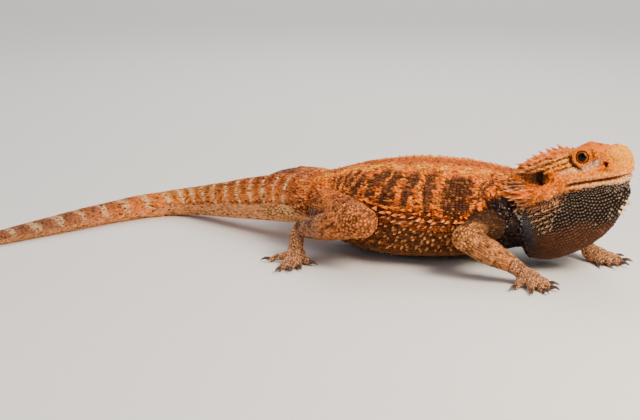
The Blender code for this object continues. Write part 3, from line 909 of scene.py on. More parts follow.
@dataclass
class Places:
    """Points on the hide with every coordinate that rows and markings need."""

    body: Body
    points: Array
    labels: Array
    regions: Array = field(init=False)
    head: Array = field(init=False)
    run: Array = field(init=False)
    turn: Array = field(init=False)
    limb: Array = field(init=False)  # the limb's number, or -1

    def __post_init__(self) -> None:
        """Work out the coordinates; a limb's points take the run and turn of its own line."""
        self.regions = np.array([region_of(n).value for n in FLESH])[self.labels]
        self.head = self.body.head.of(self.points)
        self.run, self.turn = np.zeros((2, len(self.points)))
        self.limb = np.full(len(self.points), -1)
        axial = self.regions < Region.ARM.value
        if axial.any():
            self.run[axial], self.turn[axial] = self.body.spine.locate(self.points[axial])
        for number, (limb, names) in enumerate(LIMB_NODES.items()):
            own = np.isin(self.labels, numbers_of(names))
            if own.any():
                self.run[own], self.turn[own] = self.body.limbs[limb].locate(self.points[own])
                self.limb[own] = number

    def only(self, which: Array) -> "Places":
        """Some of the places, by number or by a truth value for each.

        Args:
            which: numbers, or a truth value for each place.

        Returns:
            Those places.
        """
        some = copy(self)
        for name in ("points", "labels", "regions", "head", "run", "turn", "limb"):
            setattr(some, name, getattr(self, name)[which])
        return some

    @property
    def face(self) -> tuple[Array, Array, Array]:
        """How far forward in the head's frame, how far from its middle plane, and how high."""
        return self.head[:, 0], np.abs(self.head[:, 1]), self.head[:, 2]

    @property
    def girth(self) -> Array:
        """How far round from the top: 0 on the spine and 1 on the belly."""
        return np.abs(self.turn) / math.pi

    def within(self, *regions: Region) -> Array:
        """Which points lie in any of the regions."""
        return np.isin(self.regions, [r.value for r in regions])

    def chart(self) -> Array:
        """The hide's own unwrap, piece by piece.

        The trunk and tail unroll as a cylinder round the spine's line, a limb as one round its own
        line in a strip of its own, and the head as one round its long axis.

        Returns:
            Two numbers for each point, from 0 to 1.
        """
        round_spine = self.turn / math.tau + 0.5
        flat = np.stack([self.run / self.body.spine.run[-1], round_spine], 1)
        limbs = self.limb >= 0
        flat[limbs, 0] = self.run[limbs] / 140.0
        flat[limbs, 1] = (self.limb[limbs] % 4 + round_spine[limbs]) / 4
        headed = self.regions <= Region.BEARD.value
        flat[headed, 0] = (self.head[headed, 0] + 25) / 80
        flat[headed, 1] = np.arctan2(self.head[headed, 1], self.head[headed, 2] + 8) / math.tau + 0.5
        return np.clip(flat, 0, 1)


@dataclass(frozen=True)
class Pigments:
    """The hide's colours: ochre and cream pigment over dark melanin, dry and matt; some also serve as painted
    shade and painted highlight.
    """

    amber: str = "#DD660B"
    # sun: yellow-orange laid on the snout, partly as painted highlight
    sun: str = "#FA9419"
    gold: str = "#FFB236"
    straw: str = "#F4A24C"
    crown: str = "#E5750F"
    rust: str = "#8A4420"
    umber: str = "#331E16"
    char: str = "#181212"
    blotch: str = "#31201B"
    cream: str = "#F6CF9C"
    bone: str = "#F1E2CF"
    # belly: a brown belly, darkened as painted shade
    belly: str = "#5E3F24"
    tan: str = "#A66A3C"
    thigh: str = "#B96A38"
    shank: str = "#8E6048"
    hand: str = "#B8825C"
    tail: str = "#BE5D24"
    tail_side: str = "#DE7B38"
    tail_low: str = "#CE8C5A"
    # a darker tail tip: partly its own tone, partly painted shade
    tail_end: str = "#7E5843"
    slate: str = "#33323B"
    ash: str = "#B9A48F"
    chalk: str = "#C9C6C4"
    frost: str = "#C6D0DB"
    lip: str = "#C66A4C"
    maroon: str = "#4A140C"


class Layers:
    """The colours of some places: one pigment as the ground, and others laid over it in turn."""

    def __init__(self, ink: dict[str, Array], ground: str, count: int) -> None:
        """Start with the ground everywhere."""
        self.ink = ink
        self.rows = np.tile(ink[ground], (count, 1))

    def lay(self, *layers: tuple) -> None:
        """Lay pigments, or rows of colour, over what is there, each by its share at every place."""
        for over, share in layers:
            self.rows = mix(self.rows, self.ink[over] if isinstance(over, str) else over, share)


class Markings:
    """One set of markings for hide and scales: each is a share between two pigments, by formula.

    A share is a product of ramps and bells over a place's coordinates: the run along the spine and u, v
    and w in the head's frame in millimetres, and the girth from 0 on the spine to 1 on the belly.
    """

    # each dark column of the back: its run at a third of the way down, half width, and lean back per girth
    COLUMNS = ((40.5, 1.5, 85.0), (46.0, 1.4, 90.0), (57.0, 4.6, 8.0), (70.0, 2.9, 3.0), (82.0, 2.9, 9.0),
               (90.8, 2.5, 24.0), (98.7, 2.3, 26.0), (106.4, 2.1, 26.0), (113.8, 2.1, 26.0),
               (121.4, 2.0, 26.0), (129.0, 1.8, 26.0), (137.0, 1.7, 26.0))
    FRINGE_RUN = (44, 60, 72, 82, 92, 104, 118, 134, 156)
    FRINGE_GIRTH = (0.5, 0.494, 0.48, 0.466, 0.455, 0.44, 0.42, 0.40, 0.39)

    def __init__(self, body: Body, pigments: Pigments) -> None:
        """Turn the pigments to linear colour, and find the run at which the tail begins."""
        self.body = body
        self.ink = {name: linear(getattr(pigments, name)) for name in pigments.__dataclass_fields__}
        self.tail_start = float(body.spine.locate(body.nodes[TAIL_NODES[0]].points)[0].min())

    def lighter(self, root: Array, share: Array | float) -> Array:
        """A scale's worn, thin edge: the same pigment, brighter, with a trace of cream."""
        share = np.broadcast_to(share, len(root))[:, None]
        return np.minimum(root * (1 + 1.6 * share) + self.ink["cream"] * 0.05 * share, 0.95)

    def paint(self, at: Places) -> tuple[Array, Array]:
        """The colours of scales rooted at the places.

        Args:
            at: the places on the hide.

        Returns:
            The colour at a scale's root and the colour at its tip, as linear rows.
        """
        root, tip = np.zeros((2, len(at.points), 3))
        for regions, painter in (
                ((Region.TRUNK, Region.NECK), self.trunk), ((Region.TAIL,), self.tail),
                ((Region.ARM, Region.LEG), self.limbs), ((Region.HAND, Region.FOOT), self.paws),
                ((Region.HEAD, Region.JAW, Region.BEARD), self.face)):
            own = at.within(*regions)
            if own.any():
                root[own], tip[own] = painter(at.only(own))
        return root, tip

    @staticmethod
    def fringe(run: Array) -> Array:
        """The girth of the fringe of spines: the widest line of the trunk, rising over the hips."""
        return np.interp(run, Markings.FRINGE_RUN, Markings.FRINGE_GIRTH)

    def columns(self, g: Array, run: Array, rough: Array) -> Array:
        """The share of dark column at each place: they are widest at a third of the way down.

        Args:
            g: the girth.
            run: the run along the spine.
            rough: a field that makes the edges uneven.

        Returns:
            The share, from 0 to 1.
        """
        dark = np.zeros(len(g))
        swell = 1.25 - 0.65 * np.abs(g - 0.3) / 0.2
        for centre, half, lean in self.COLUMNS:
            off = np.abs(run - centre - lean * (g - 0.33) + 1.2 * rough) / (half * swell)
            dark = np.maximum(dark, ramp(1.35 - off, 0.1, 0.5))
        return dark

    def trunk(self, at: Places) -> tuple[Array, Array]:
        """Dark columns down each side, sunlit streaks between, a fringe, flanks darkened partly as painted
        shade, and painted shade on the belly and low on the neck.

        Args:
            at: places on trunk and neck.

        Returns:
            The colours at root and tip.
        """
        g, run, p = at.girth, at.run, at.points
        rough = waves(p, 17, 11) + 0.8 * waves(p, 6.5, 12)
        fine = waves(p, 3.6, 14)
        level = g - self.fringe(run)
        ridge = bump(g, 0.15 + 0.006 * rough, 0.035) * (0.55 + 0.45 * np.cos((run - 55) / 12.2 * math.tau))
        broken = ramp(waves(p, 3.1, 18) + 0.5 * fine, -1.1, 0.3)
        speck = ramp(waves(p, 4.4, 15) + 0.5 * waves(p, 2.3, 16), 0.15, 0.9)
        dark = self.columns(g, run, rough) * ramp(g + 0.012 * rough, 0.19, 0.235)
        dark *= ramp(-level + 0.006 * rough, 0.01, 0.04) * (0.93 - 0.25 * ramp(fine, 0.3, 1.0))
        low = ramp(level + 0.006 * rough, 0.03, 0.05)
        # painted shade: near-black in the hollow low on the neck, with bluish-grey folds in it and paler tips
        # held back there
        shaded_hollow = ramp(45 + 4 * ramp(g, 0.45, 0.55) - run + 2.5 * rough, 0, 5)
        shaded_hollow *= ramp(g + 0.022 * rough, 0.33, 0.38)
        fold = shaded_hollow * bump(np.sin(run / 3.1 * math.tau) + 0.5 * rough, 1.0, 0.5)
        nape = ramp(40 - run, 0, 12) * ramp(0.36 - g, 0, 0.06)
        coat = Layers(self.ink, "amber", len(p))
        coat.lay(
            ("gold", ridge * 0.95 * broken + 0.35 * ramp(fine, 0.4, 1.0)),
            ("rust", ramp(0.115 - g + 0.02 * rough, 0, 0.05) * (0.72 + 0.25 * fine)),
            ("rust", ramp(rough, 0.6, 1.6) * 0.6),
            ("umber", speck * (0.3 * ramp(g, 0.2, 0.3) + 0.38 * ramp(g, 0.04, 0.12))),
            ("blotch", dark),
            # flanks below the fringe darker: partly their own tone, partly painted shade
            ("umber", low * (0.94 - 0.16 * ramp(fine, 0.2, 1.0))),
            ("umber", bump(level, 0.0, 0.046) * ramp(run, 44, 56) * 0.95),
            # the belly, darkened as painted shade
            ("belly", ramp(g + 0.01 * rough, 0.67, 0.74)),
            (self.banded(at), ramp(run + 2 * rough, self.tail_start - 20, self.tail_start)),
            # painted shade in the hollow low on the neck, and bluish-grey folds within that shade
            ("char", shaded_hollow * 0.99),
            ("slate", fold * 0.45),
            ("rust", nape * 0.45),
            ("umber", nape * speck * 0.6))
        return coat.rows, self.lighter(coat.rows, (0.35 + 0.3 * low) * (1 - 0.8 * shaded_hollow))

    def tail(self, at: Places) -> tuple[Array, Array]:
        """Narrow cream bands near the base that grow broad and soft, over a pale underside."""
        root = self.banded(at)
        return root, self.lighter(root, 0.45)

    def banded(self, at: Places) -> Array:
        """The tail's colours; on the rump they run on forwards, and the bands fade out.

        Args:
            at: places on tail or trunk.

        Returns:
            The colours.
        """
        g, p = at.girth, at.points
        back = at.run - self.tail_start
        rough, fine = waves(p, 12, 21), waves(p, 3.4, 22)
        bowed = back - np.interp(back, (0, 40, 75, 105, 140, 300), (4, 6, 9, 5, 3, 2)) * (1 - 2 * g)
        phase = np.interp(bowed, (-40, 0, 95, 330), (-4.0, 0, 9.6, 25.0)) + 0.06 * rough
        soft = ramp(back, 70, 130)
        band = ramp(np.cos(phase * math.tau) + 0.12 * fine - 0.25 * (1 - soft), 0.42, 0.85)
        band *= ramp(back, -14, 4) * (0.7 - 0.25 * soft)
        between = ramp(np.cos((phase - 0.5) * math.tau), 0.1, 1.0) * (1 - 0.5 * soft)
        coat = Layers(self.ink, "tail", len(p))
        coat.lay(
            ("rust", 0.3 + 0.3 * rough),
            ("tail_side", ramp(g + 0.02 * fine, 0.12, 0.34) * ramp(back, -12, 10) * 0.7),
            # painted light: a lighter straw patch on the tail's top, as if sunlit
            ("straw", ramp(0.46 - g, 0, 0.2) * bump(back, 92, 32) * 0.45),
            # darker towards the tip: partly its own tone, partly painted shade
            ("tail_end", ramp(back, 105, 190) * 0.85),
            ("umber", between * (0.54 + 0.25 * fine) * ramp(0.46 - g, 0, 0.16)),
            ("tail_low", ramp(g + 0.02 * fine, 0.5, 0.55) * (0.85 - 0.25 * soft)),
            ("umber", bump(g, 0.5 + 0.012 * rough, 0.022) * (0.55 + 0.3 * fine) * (1 - soft)),
            ("cream", band * ramp(0.56 - g, 0, 0.1) * ramp(g, -0.05, 0.12)))
        return coat.rows

    def limbs(self, at: Places) -> tuple[Array, Array]:
        """Tan arms with painted shade where they meet the body, and brown thighs with darker saddles and an
        underside darkened as painted shade.

        Args:
            at: places on arms and legs.

        Returns:
            The colours at root and tip.
        """
        g, run, p = at.girth, at.run, at.points
        rough = waves(p, 13, 31) + 0.5 * waves(p, 5, 32)
        leg = at.within(Region.LEG)
        saddle = ramp(rough + np.sin(run / 11 * math.tau) * 0.5, 0.2, 1.2)
        speck = ramp(waves(p, 2.9, 33) + 0.4 * waves(p, 6, 34), 0.0, 0.8)
        # where each arm meets the body: painted shade
        shoulder = ~leg * ramp(25 - run + 2 * rough, 0, 8)
        coat = Layers(self.ink, "tan", len(p))
        coat.lay(
            ("thigh", leg * ramp(46 - run, 0, 12)),
            ("shank", leg * ramp(run, 34, 46)),
            ("amber", leg * ramp(24 - run, 0, 16) * ramp(0.4 - g, 0, 0.2) * 0.6),
            ("umber", saddle * 0.55),
            ("umber", speck * (0.45 + 0.1 * leg)),
            # painted shade at the root of the arm
            ("char", shoulder * 0.9),
            # the underside, darkened as painted shade
            ("belly", ramp(g, 0.66, 0.85) * 0.6))
        return coat.rows, self.lighter(coat.rows, (0.8 - 0.3 * leg) * (1 - 0.7 * shoulder))

    def paws(self, at: Places) -> tuple[Array, Array]:
        """Pinkish tan, a little darker in rings along the toes.

        Args:
            at: places on hands and feet.

        Returns:
            The colours at root and tip.
        """
        ring = ramp(np.sin(at.run / 2.1 * math.tau), -0.2, 0.8)
        coat = Layers(self.ink, "hand", len(ring))
        coat.lay(("umber", 0.12 + 0.2 * waves(at.points, 5, 41) + 0.3 * ring))
        return coat.rows, self.lighter(coat.rows, 0.6)

    def face(self, at: Places) -> tuple[Array, Array]:
        """Amber head, cream cheek stripe, creased temples, a black beard of pale-tipped scales, and painted
        shade behind the ear, in the nostril and under it.

        Args:
            at: places on head, jaw and beard.

        Returns:
            The colours at root and tip.
        """
        u, v, w = at.face
        rough = waves(at.points, 8, 51) + 0.5 * waves(at.points, 3.2, 52)
        over = w - Hide.mouth_height(u)
        side = ramp(v, 5.5, 8.5)
        coat = Layers(self.ink, "crown", len(u))
        self.crown_and_cheek(coat, at, rough, side)
        self.lips(coat, u, over)
        for name in HANDS:
            self.round_eye_and_ear(coat, at.points, rough, name)
        # painted shade: the hollow behind the ear
        shaded_hollow = side * bump(u, -6.0, 5.0) * bump(w, 1.2 - 0.15 * (u + 6), 3.4)
        ahead, above = u - Hide.nostril[0], w - Hide.nostril[1]
        # painted shade inside the nostril
        pit = ramp(1.7 - np.hypot(ahead, 0.85 * above), 0, 0.5)
        # painted shadow in the groove under the nostril
        under = bump(ahead, -0.5, 4.0) * bump(above + 0.1 * ahead, -2.9, 0.8)
        jowl = side * ramp(14 - u, 0, 6) * ramp(-over + 2, 0, 3)
        line = np.sin((w + 0.42 * u + 0.5 * rough) / 2.4 * math.tau)
        beard = ramp(-over - 1.8 - 0.5 * ramp(u, 36, 44) + 0.5 * rough, 0, 2.0)
        low = ramp(-over - 15.5 - 0.22 * (u - 6) + 2 * rough, 0, 10)
        neck = ramp(-5 - u, 0, 5) * ramp(-over, 7, 11)
        coat.lay(
            # painted shade in the hollow behind the ear
            ("umber", np.minimum(shaded_hollow * 1.3, 0.9)),
            ("amber", (v > 4.5) * np.exp(-(ahead**2 + above**2) / 9) * 0.7),
            # painted shade inside the nostril
            ("char", (v > 4.5) * pit * 0.95),
            # painted shadow in the groove under the nostril
            ("maroon", (v > 5) * under * 0.85),
            ("tan", jowl * 0.4),
            ("umber", jowl * ramp(line, 0.2, 1.0) * 0.55),
            ("straw", jowl * ramp(-line, 0.3, 1.0) * 0.4),
            ("char", beard),
            ("umber", beard * low),
            ("shank", beard * low * 0.16),
            ("slate", neck * ramp(34 + over, 0, 12) * 0.75))
        pale = Layers(self.ink, "ash", len(u))
        pale.lay(("hand", low), ("chalk", neck))
        tip = self.lighter(coat.rows, 0.25 * (1 - beard))
        share = beard * (0.86 - 0.3 * low - 0.3 * neck - 0.2 * ramp(-over, 8, 18))
        return coat.rows, mix(tip, pale.rows, share)

    @staticmethod
    def crown_and_cheek(coat: Layers, at: Places, rough: Array, side: Array) -> None:
        """Lay the head's upper colours: a snout lightened partly as painted highlight, mottled crown,
        streaked temple, cheek, a brow with a painted highlight, and a painted shadow before the eye.

        Args:
            coat: the colours so far.
            at: the places on the head.
            rough: a soft random field.
            side: 0 on top of the head and 1 on its sides.
        """
        u, _, w = at.face
        over = w - Hide.mouth_height(u)
        mottle = ramp(waves(at.points, 3.4, 53) + 0.4 * rough, 0.2, 1.0)
        temple = side * ramp(19 - u, 0, 4) * ramp(w, 1, 4) * ramp(12 - w, 0, 2)
        streak = np.sin((w - 0.22 * u + 0.4 * rough) / 2.6 * math.tau)
        cheek = side * bump(over, 7.0 - 0.05 * (u - 20), 1.0) * ramp(u, 8, 14) * ramp(30 - u, 0, 8)
        face = side * ramp(over, 0.5, 2) * ramp(9 - over, 0, 3) * ramp(u, 6, 16)
        lore = side * bump(u, 27.6, 3.2) * bump(w - 0.3 * (u - 27.6), 3.9, 1.1)
        slant = np.sin((w + 0.75 * u + 0.4 * rough) / 2.1 * math.tau)
        snout = side * bump(u, 31.5, 4.5) * ramp(w, 4, 6)
        coat.lay(
            # the front of the head lighter yellow-orange, partly painted highlight; the rest is a random
            # shift of tone
            ("sun", ramp(u, 26, 42) * 0.65 + 0.3 * ramp(rough, 0, 1)),
            # painted highlight on the front of the snout
            ("gold", ramp(u, 33, 42) * ramp(w, -3, 1) * 0.42),
            ("amber", ramp(14 - u + 3 * rough, 0, 14) * 0.8),
            ("rust", mottle * ramp(24 - u, 0, 16) * 0.5),
            ("straw", temple * 0.2),
            ("umber", temple * ramp(streak, 0.15, 0.8) * 0.9),
            ("straw", temple * ramp(-streak, 0.2, 0.8) * 0.7),
            ("straw", face * 0.16),
            ("cream", cheek * 0.75),
            ("chalk", np.minimum(lore * 1.1, 0.7)),
            # painted shadow under the ridge between eye and nostril
            ("rust", side * bump(u, 27.5, 2.2) * bump(w, 7.4, 2.0) * 0.65),
            ("rust", snout * ramp(slant, 0.1, 0.9) * 0.45),
            # painted highlight: a pale upright streak on the brow
            ("chalk", side * bump(u, 20.5, 1.2) * bump(w, 13.0, 1.5) * 0.6))

    @staticmethod
    def lips(coat: Layers, u: Array, over: Array) -> None:
        """Lay pale lips and the dark line between them, by the height over the mouth line.

        Args:
            coat: the colours so far.
            u: how far forward each place lies.
            over: its height over the mouth line.
        """
        lips = ramp(u, 11, 17) * (bump(over, 1.2, 1.1) + bump(over, -1.1, 0.8))
        line = ramp(u, 11, 15) * ramp(1.4 - np.abs(over), 0, 1.0)
        coat.lay(
            ("cream", np.clip(lips, 0, 1) * 0.45),
            ("chalk", ramp(u, 16, 30) * ramp(-over, 1.2, 3.0) * 0.35),
            ("cream", ramp(u, 22, 36) * ramp(-over, 0.5, 1.6) * 0.5),
            ("lip", ramp(u, 24, 40) * bump(over, 0, 1.0) * 0.7),
            ("maroon", line * (0.97 - 0.45 * ramp(u, 36, 42))))

    def round_eye_and_ear(self, coat: Layers, points: Array, rough: Array, side: str) -> None:
        """Lay the rings round one eye, by the distance from its gaze axis, with painted shade in the creases
        round it, and the painted shade of its ear.

        Args:
            coat: the colours so far.
            points: the places.
            rough: a soft random field.
            side: left or right.
        """
        head = self.body.head
        gaze, _ = head.gaze(side)
        rest = points - head.eyes[side]
        deep = rest @ gaze
        off = np.sqrt(np.maximum((rest**2).sum(1) - deep**2, 0))
        near = (deep > 0) & (np.linalg.norm(rest, axis=1) < 10)
        ahead, above = (rest @ head.axes[k] / np.maximum(off, 0.1) for k in (0, 2))
        behind = ramp(-0.95 * ahead - 0.45 * above + 0.15 * rough, 0.5, 0.9)
        ear = np.linalg.norm(points - head.ears[side], axis=1)
        coat.lay(
            # painted shade in the crease behind and below the eye
            ("char", near * np.minimum(1.5 * bump(off, 6.3, 0.95) * behind, 0.96)),
            # painted shade before the eye
            ("maroon", near * bump(off, 6.1, 0.8) * ramp(ahead, 0.4, 0.9) * 0.7),
            # painted shadow under the brow, above the eye
            ("rust", near * bump(off, 5.9, 0.8) * ramp(above, 0.3, 0.8) * 0.7),
            ("crown", near * ramp(5.3 - off, 0, 0.5) * 0.85),
            ("straw", near * bump(off, 4.5, 0.5) * ramp(-above - 0.5 * ahead, 0, 1) * 0.35),
            ("umber", near * ramp(3.55 - off, 0, 0.3) * 0.9),
            # painted shade in the recess of the ear
            ("char", ramp(5.4 - ear, 0, 1.8) * 0.93))


# ---------------------------------------------------------------- scales


class Kind(Enum):
    """The shapes of scale."""

    LEAF = "keeled leaf"
    SHIELD = "flat shield"
    BEAD = "round granule"
    CONE = "upright cone"
    THORN = "spine that leans with the lie"
    POINT = "leaf that rises to its point"
    PRICK = "low scale with a small sharp tip"


@dataclass(frozen=True)
class Template:
    """A scale of length, width and height one: points, triangles, and how near the tip each point is."""

    SIDES = 6

    points: Array
    faces: Array
    tip: Array

    @staticmethod
    def stacked(rings: tuple, apex: tuple, depth: float = 0.7) -> "Template":
        """A closed shape of rings between a base point and an apex.

        Ring k is the ellipse (shift + a cos t, b sin t) at its height, t running round; neighbouring
        rings are joined by triangles, and the base and apex close the two ends.

        Args:
            rings: rows of half length, half width, height, shift, rise of the front, and nearness to
                the tip at the back and at the front.
            apex: the top point as x, height and nearness to the tip.
            depth: how far the base point lies under the skin.

        Returns:
            The template.
        """
        t = np.arange(Template.SIDES) * math.tau / Template.SIDES
        front, ahead = np.maximum(np.cos(t), -0.4), np.maximum(np.cos(t), 0) ** 4
        levels = [np.stack([shift + a * np.cos(t), b * np.sin(t), height + rise * front], 1)
                  for a, b, height, shift, rise, *_ in rings]
        tips = [back + (fore - back) * ahead for *_, back, fore in rings]
        faces = np.vstack([grid_faces(len(rings), len(t)), end_faces(len(rings), len(t))])
        points = np.vstack([*levels, [[0, 0, -depth]], [[apex[0], 0, apex[1]]]])
        return Template(points, faces[:, ::-1], np.concatenate([*tips, [0.0, apex[2]]]))


TEMPLATES = {
    Kind.LEAF: Template.stacked(((0.55, 0.5, 0.0, 0.0, 0.55, 0.0, 1.0),), (0.22, 1.0, 0.35)),
    Kind.SHIELD: Template.stacked(
        ((0.5, 0.5, 0.0, 0.0, 0.1, 0.0, 0.2), (0.37, 0.37, 0.8, 0.0, 0.1, 0.3, 0.7)), (0.0, 1.0, 0.5)),
    Kind.BEAD: Template.stacked(
        ((0.5, 0.5, 0.0, 0.0, 0.0, 0.1, 0.1), (0.33, 0.33, 0.72, 0.02, 0.0, 0.5, 0.7)), (0.04, 1.0, 0.9)),
    Kind.CONE: Template.stacked(
        ((0.5, 0.5, -0.12, 0.0, 0.0, 0.0, 0.0), (0.31, 0.31, 0.42, 0.06, 0.0, 0.35, 0.5)),
        (0.3, 1.0, 1.0), depth=0.3),
    Kind.THORN: Template.stacked(
        ((0.42, 0.5, -0.15, 0.0, 0.0, 0.0, 0.05), (0.27, 0.34, 0.36, 0.16, 0.0, 0.05, 0.35),
         (0.13, 0.15, 0.72, 0.42, 0.0, 0.45, 0.8)), (0.72, 1.0, 1.0), depth=0.4),
    Kind.PRICK: Template.stacked(
        ((0.55, 0.5, 0.0, 0.0, 0.1, 0.0, 0.0), (0.2, 0.24, 0.6, 0.24, 0.0, 0.05, 0.45)), (0.46, 1.0, 1.0)),
    Kind.POINT: Template.stacked(((0.58, 0.5, 0.0, 0.0, 0.2, 0.0, 0.12),), (0.38, 1.0, 1.0)),
}


@dataclass
class Scales:
    """Many scales of one kind: their roots, the way they lie, their sizes and colours."""

    PATCH = 0.003  # the side of one scale's own patch on the unwrap
    FLOOR_GAP = 0.03  # no scale comes nearer to the floor

    kind: Kind
    at: Places
    lie: Array
    normal: Array
    size: Array  # length, width, height
    root_colour: Array
    tip_colour: Array

    def mesh_arrays(self, chart: Array) -> tuple[Array, Array, Array, Array]:
        """All the scales as one list of points and triangles.

        A template point (x, y, z) goes to root + L x lie + W y side + H z normal.

        Args:
            chart: each root's place on the hide's unwrap, from 0 to 1.

        Returns:
            Points, triangles, a colour for each point, and a map place for each point.
        """
        shape = TEMPLATES[self.kind]
        axes = (self.lie, unit(np.cross(self.normal, self.lie)), self.normal)
        points = self.at.points[:, None] + sum(
            shape.points[None, :, k, None] * self.size[:, None, k, None] * axes[k][:, None] for k in range(3))
        points[..., 2] = np.maximum(points[..., 2], self.FLOOR_GAP)
        count, each = points.shape[:2]
        faces = (shape.faces[None] + np.arange(count)[:, None, None] * each).reshape(-1, 3)
        share = shape.tip[None, :, None]
        colours = self.root_colour[:, None] * (1 - share) + self.tip_colour[:, None] * share
        patch = chart[:, None] + shape.points[None, :, :2] * self.PATCH
        return points.reshape(-1, 3), faces, colours.reshape(-1, 3), patch.reshape(-1, 2)


@dataclass
class Rows:
    """Roots laid in rows: places, their frames, and the spacing along and round at each."""

    at: Places
    normal: Array
    lie: Array
    along: Array
    around: Array


@dataclass(frozen=True)
class Crest:
    """A row of enlarged scales on both sides of the animal, such as the fringe along its flanks.

    Its path is given as (run, girth) on the trunk, or as (u, v, w) near the skin in the head's frame.
    """

    piece: str
    path: tuple
    space: float
    size: tuple[float, float, float]  # length, width, height
    root: str
    tip: str
    lie: tuple[float, float, float] = (-1.0, 0.25, -0.1)  # back, out and up, in the head's frame
    ends: tuple[float, float] = (0.65, 0.65)  # the size at the first and last, over that in the middle
    vary: float = 0.12
    kind: Kind = Kind.THORN


def fringe_row(shift: float, space: float, size: tuple, root: str, tip: str) -> Crest:
    """A row of the fringe, shifted round from its middle line by a part of the girth."""
    runs = (46, 54, 62, 72, 82, 92, 102, 114, 126, 138, 150)
    path = tuple((float(run), float(Markings.fringe(run)) + shift) for run in runs)
    return Crest("coat_spines_trunk", path, space, size, root, tip, ends=(0.7, 0.6), vary=0.24)


def jaw_row(n: int) -> Crest:
    """One row of the ruff at the angle of the jaw: five close rows that grow towards the back."""
    path = ((-3.0 - n, 20, -5.0 - 2.0 * n), (-10, 21, -5.6 - 2.1 * n), (-18.5 + 0.8 * n, 21, -5.8 - 2.2 * n))
    return Crest("coat_spines_head", path, 2.2, (4.3 - 0.25 * n, 2.5 - 0.1 * n, 3.0 - 0.2 * n),
                 "amber" if n < 2 else "rust", "cream", (-1, 0.5, 0.12 - 0.14 * n), (0.5, 1.2), 0.2)


def crescent_row(n: int) -> Crest:
    """One row of the broad, pale-edged scales that hang below the jaw's angle."""
    path = ((13 - 1.6 * n, 16 + 0.3 * n, -11.2 - 2.0 * n), (3, 18, -13.0 - 2.0 * n),
            (-11 + 1.2 * n, 19.5, -15.4 - 1.95 * n))
    return Crest("coat_spines_beard", path, 2.15, (2.9 - 0.12 * n, 2.3 - 0.1 * n, 1.5),
                 "rust" if n < 4 else "umber", "cream", (-1, 0.3, -0.8), (0.6, 0.85), 0.2)


def ear_row(n: int) -> Crest:
    """One row of short upright spines behind the ear, along the top of the neck's fold."""
    path = ((-7 - n, 20, -0.8 - 1.5 * n), (-14, 19, -1.2 - 1.5 * n), (-21, 17, -1.7 - 1.5 * n))
    return Crest("coat_spines_head", path, 1.9, (2.3, 1.7, 1.9), "tan" if n else "rust", "cream",
                 (-1, 0.3, 0.6 - 0.2 * n), (0.7, 0.9), 0.25)


def shoulder_row(n: int) -> Crest:
    """One short row of bluish-white spines in the fold before the shoulder."""
    path = ((25 + n, 0.465 + 0.03 * n), (29.5 + n, 0.445 + 0.03 * n), (34.5 + n, 0.42 + 0.03 * n))
    return Crest("coat_spines_trunk", path, 1.9, (2.3 - 0.1 * n, 1.5, 3.3 - 0.25 * n), "slate", "frost",
                 vary=0.28)


def lip_row(height: tuple, space: float, size: tuple, root: str, start: float, end: float) -> Crest:
    """A row of plates along a lip, from the corner of the mouth to its front, at these heights."""
    ahead, beside = (start, 24, 34, 43, 47.5, end), (16, 13, 9.5, 7.6, 5, 0.4)
    return Crest("coat_lips", tuple(zip(ahead, beside, height)), space, size, root, "cream", (-1, 0, 0),
                 (0.7, 0.9), 0.1, Kind.SHIELD)


CRESTS = (
    fringe_row(-0.050, 3.2, (1.9, 1.8, 1.7), "rust", "straw"),
    fringe_row(-0.028, 3.3, (2.5, 2.3, 2.6), "amber", "straw"),
    fringe_row(-0.004, 3.3, (2.7, 2.5, 3.0), "amber", "cream"),
    fringe_row(0.021, 3.4, (2.4, 2.3, 2.6), "rust", "cream"),
    # the crown of spines round the back of the head
    Crest("coat_spines_head", ((16, 3, 13), (6, 7.2, 11), (-4, 9.8, 9.4), (-13, 12.5, 6.0)), 4.5,
          (4.6, 3.0, 3.0), "amber", "cream", (-1, 0.1, 0.25), (0.45, 1.1), 0.16),
    Crest("coat_spines_head", ((12, 8.5, 11.5), (2, 11.5, 9), (-8, 13.5, 6.2)), 3.0, (3.2, 2.2, 1.9),
          "amber", "straw", (-1, 0.25, 0.1), (0.5, 1.15), 0.16),
    Crest("coat_spines_head", ((8, 13, 8), (-1, 15, 6), (-10, 16, 3.5)), 2.7, (2.8, 2.0, 1.9),
          "rust", "cream", (-1, 0.3, 0.2), (0.6, 1.1), 0.16),
    *(ear_row(n) for n in range(3)),
    *(jaw_row(n) for n in range(5)),
    *(crescent_row(n) for n in range(7)),
    # white points at the front of the beard
    Crest("coat_spines_beard", ((39.5, 1.8, -22), (36.5, 3.4, -24), (33.5, 2.4, -26.5)), 3.0,
          (2.5, 1.7, 5.0), "cream", "bone", (0.5, 0.4, -0.3), (0.9, 0.9), 0.25),
    lip_row((-3.45, -3.45, -3.55, -3.65, -3.75, -3.75), 1.75, (1.75, 1.55, 0.42), "crown", 13, 49.5),
    lip_row((-6.75, -6.65, -6.75, -6.75, -6.75, -6.75), 1.65, (1.65, 1.4, 0.4), "straw", 14, 49.2),
    *(shoulder_row(n) for n in range(4)),
    # two rows high on the neck
    Crest("coat_spines_trunk", ((24, 0.33), (31, 0.31), (39, 0.30)), 2.6, (2.5, 1.7, 2.0),
          "rust", "straw", vary=0.3),
    Crest("coat_spines_trunk", ((22, 0.27), (31, 0.26), (40, 0.25)), 3.1, (2.3, 1.7, 1.7),
          "rust", "straw", vary=0.3),
)


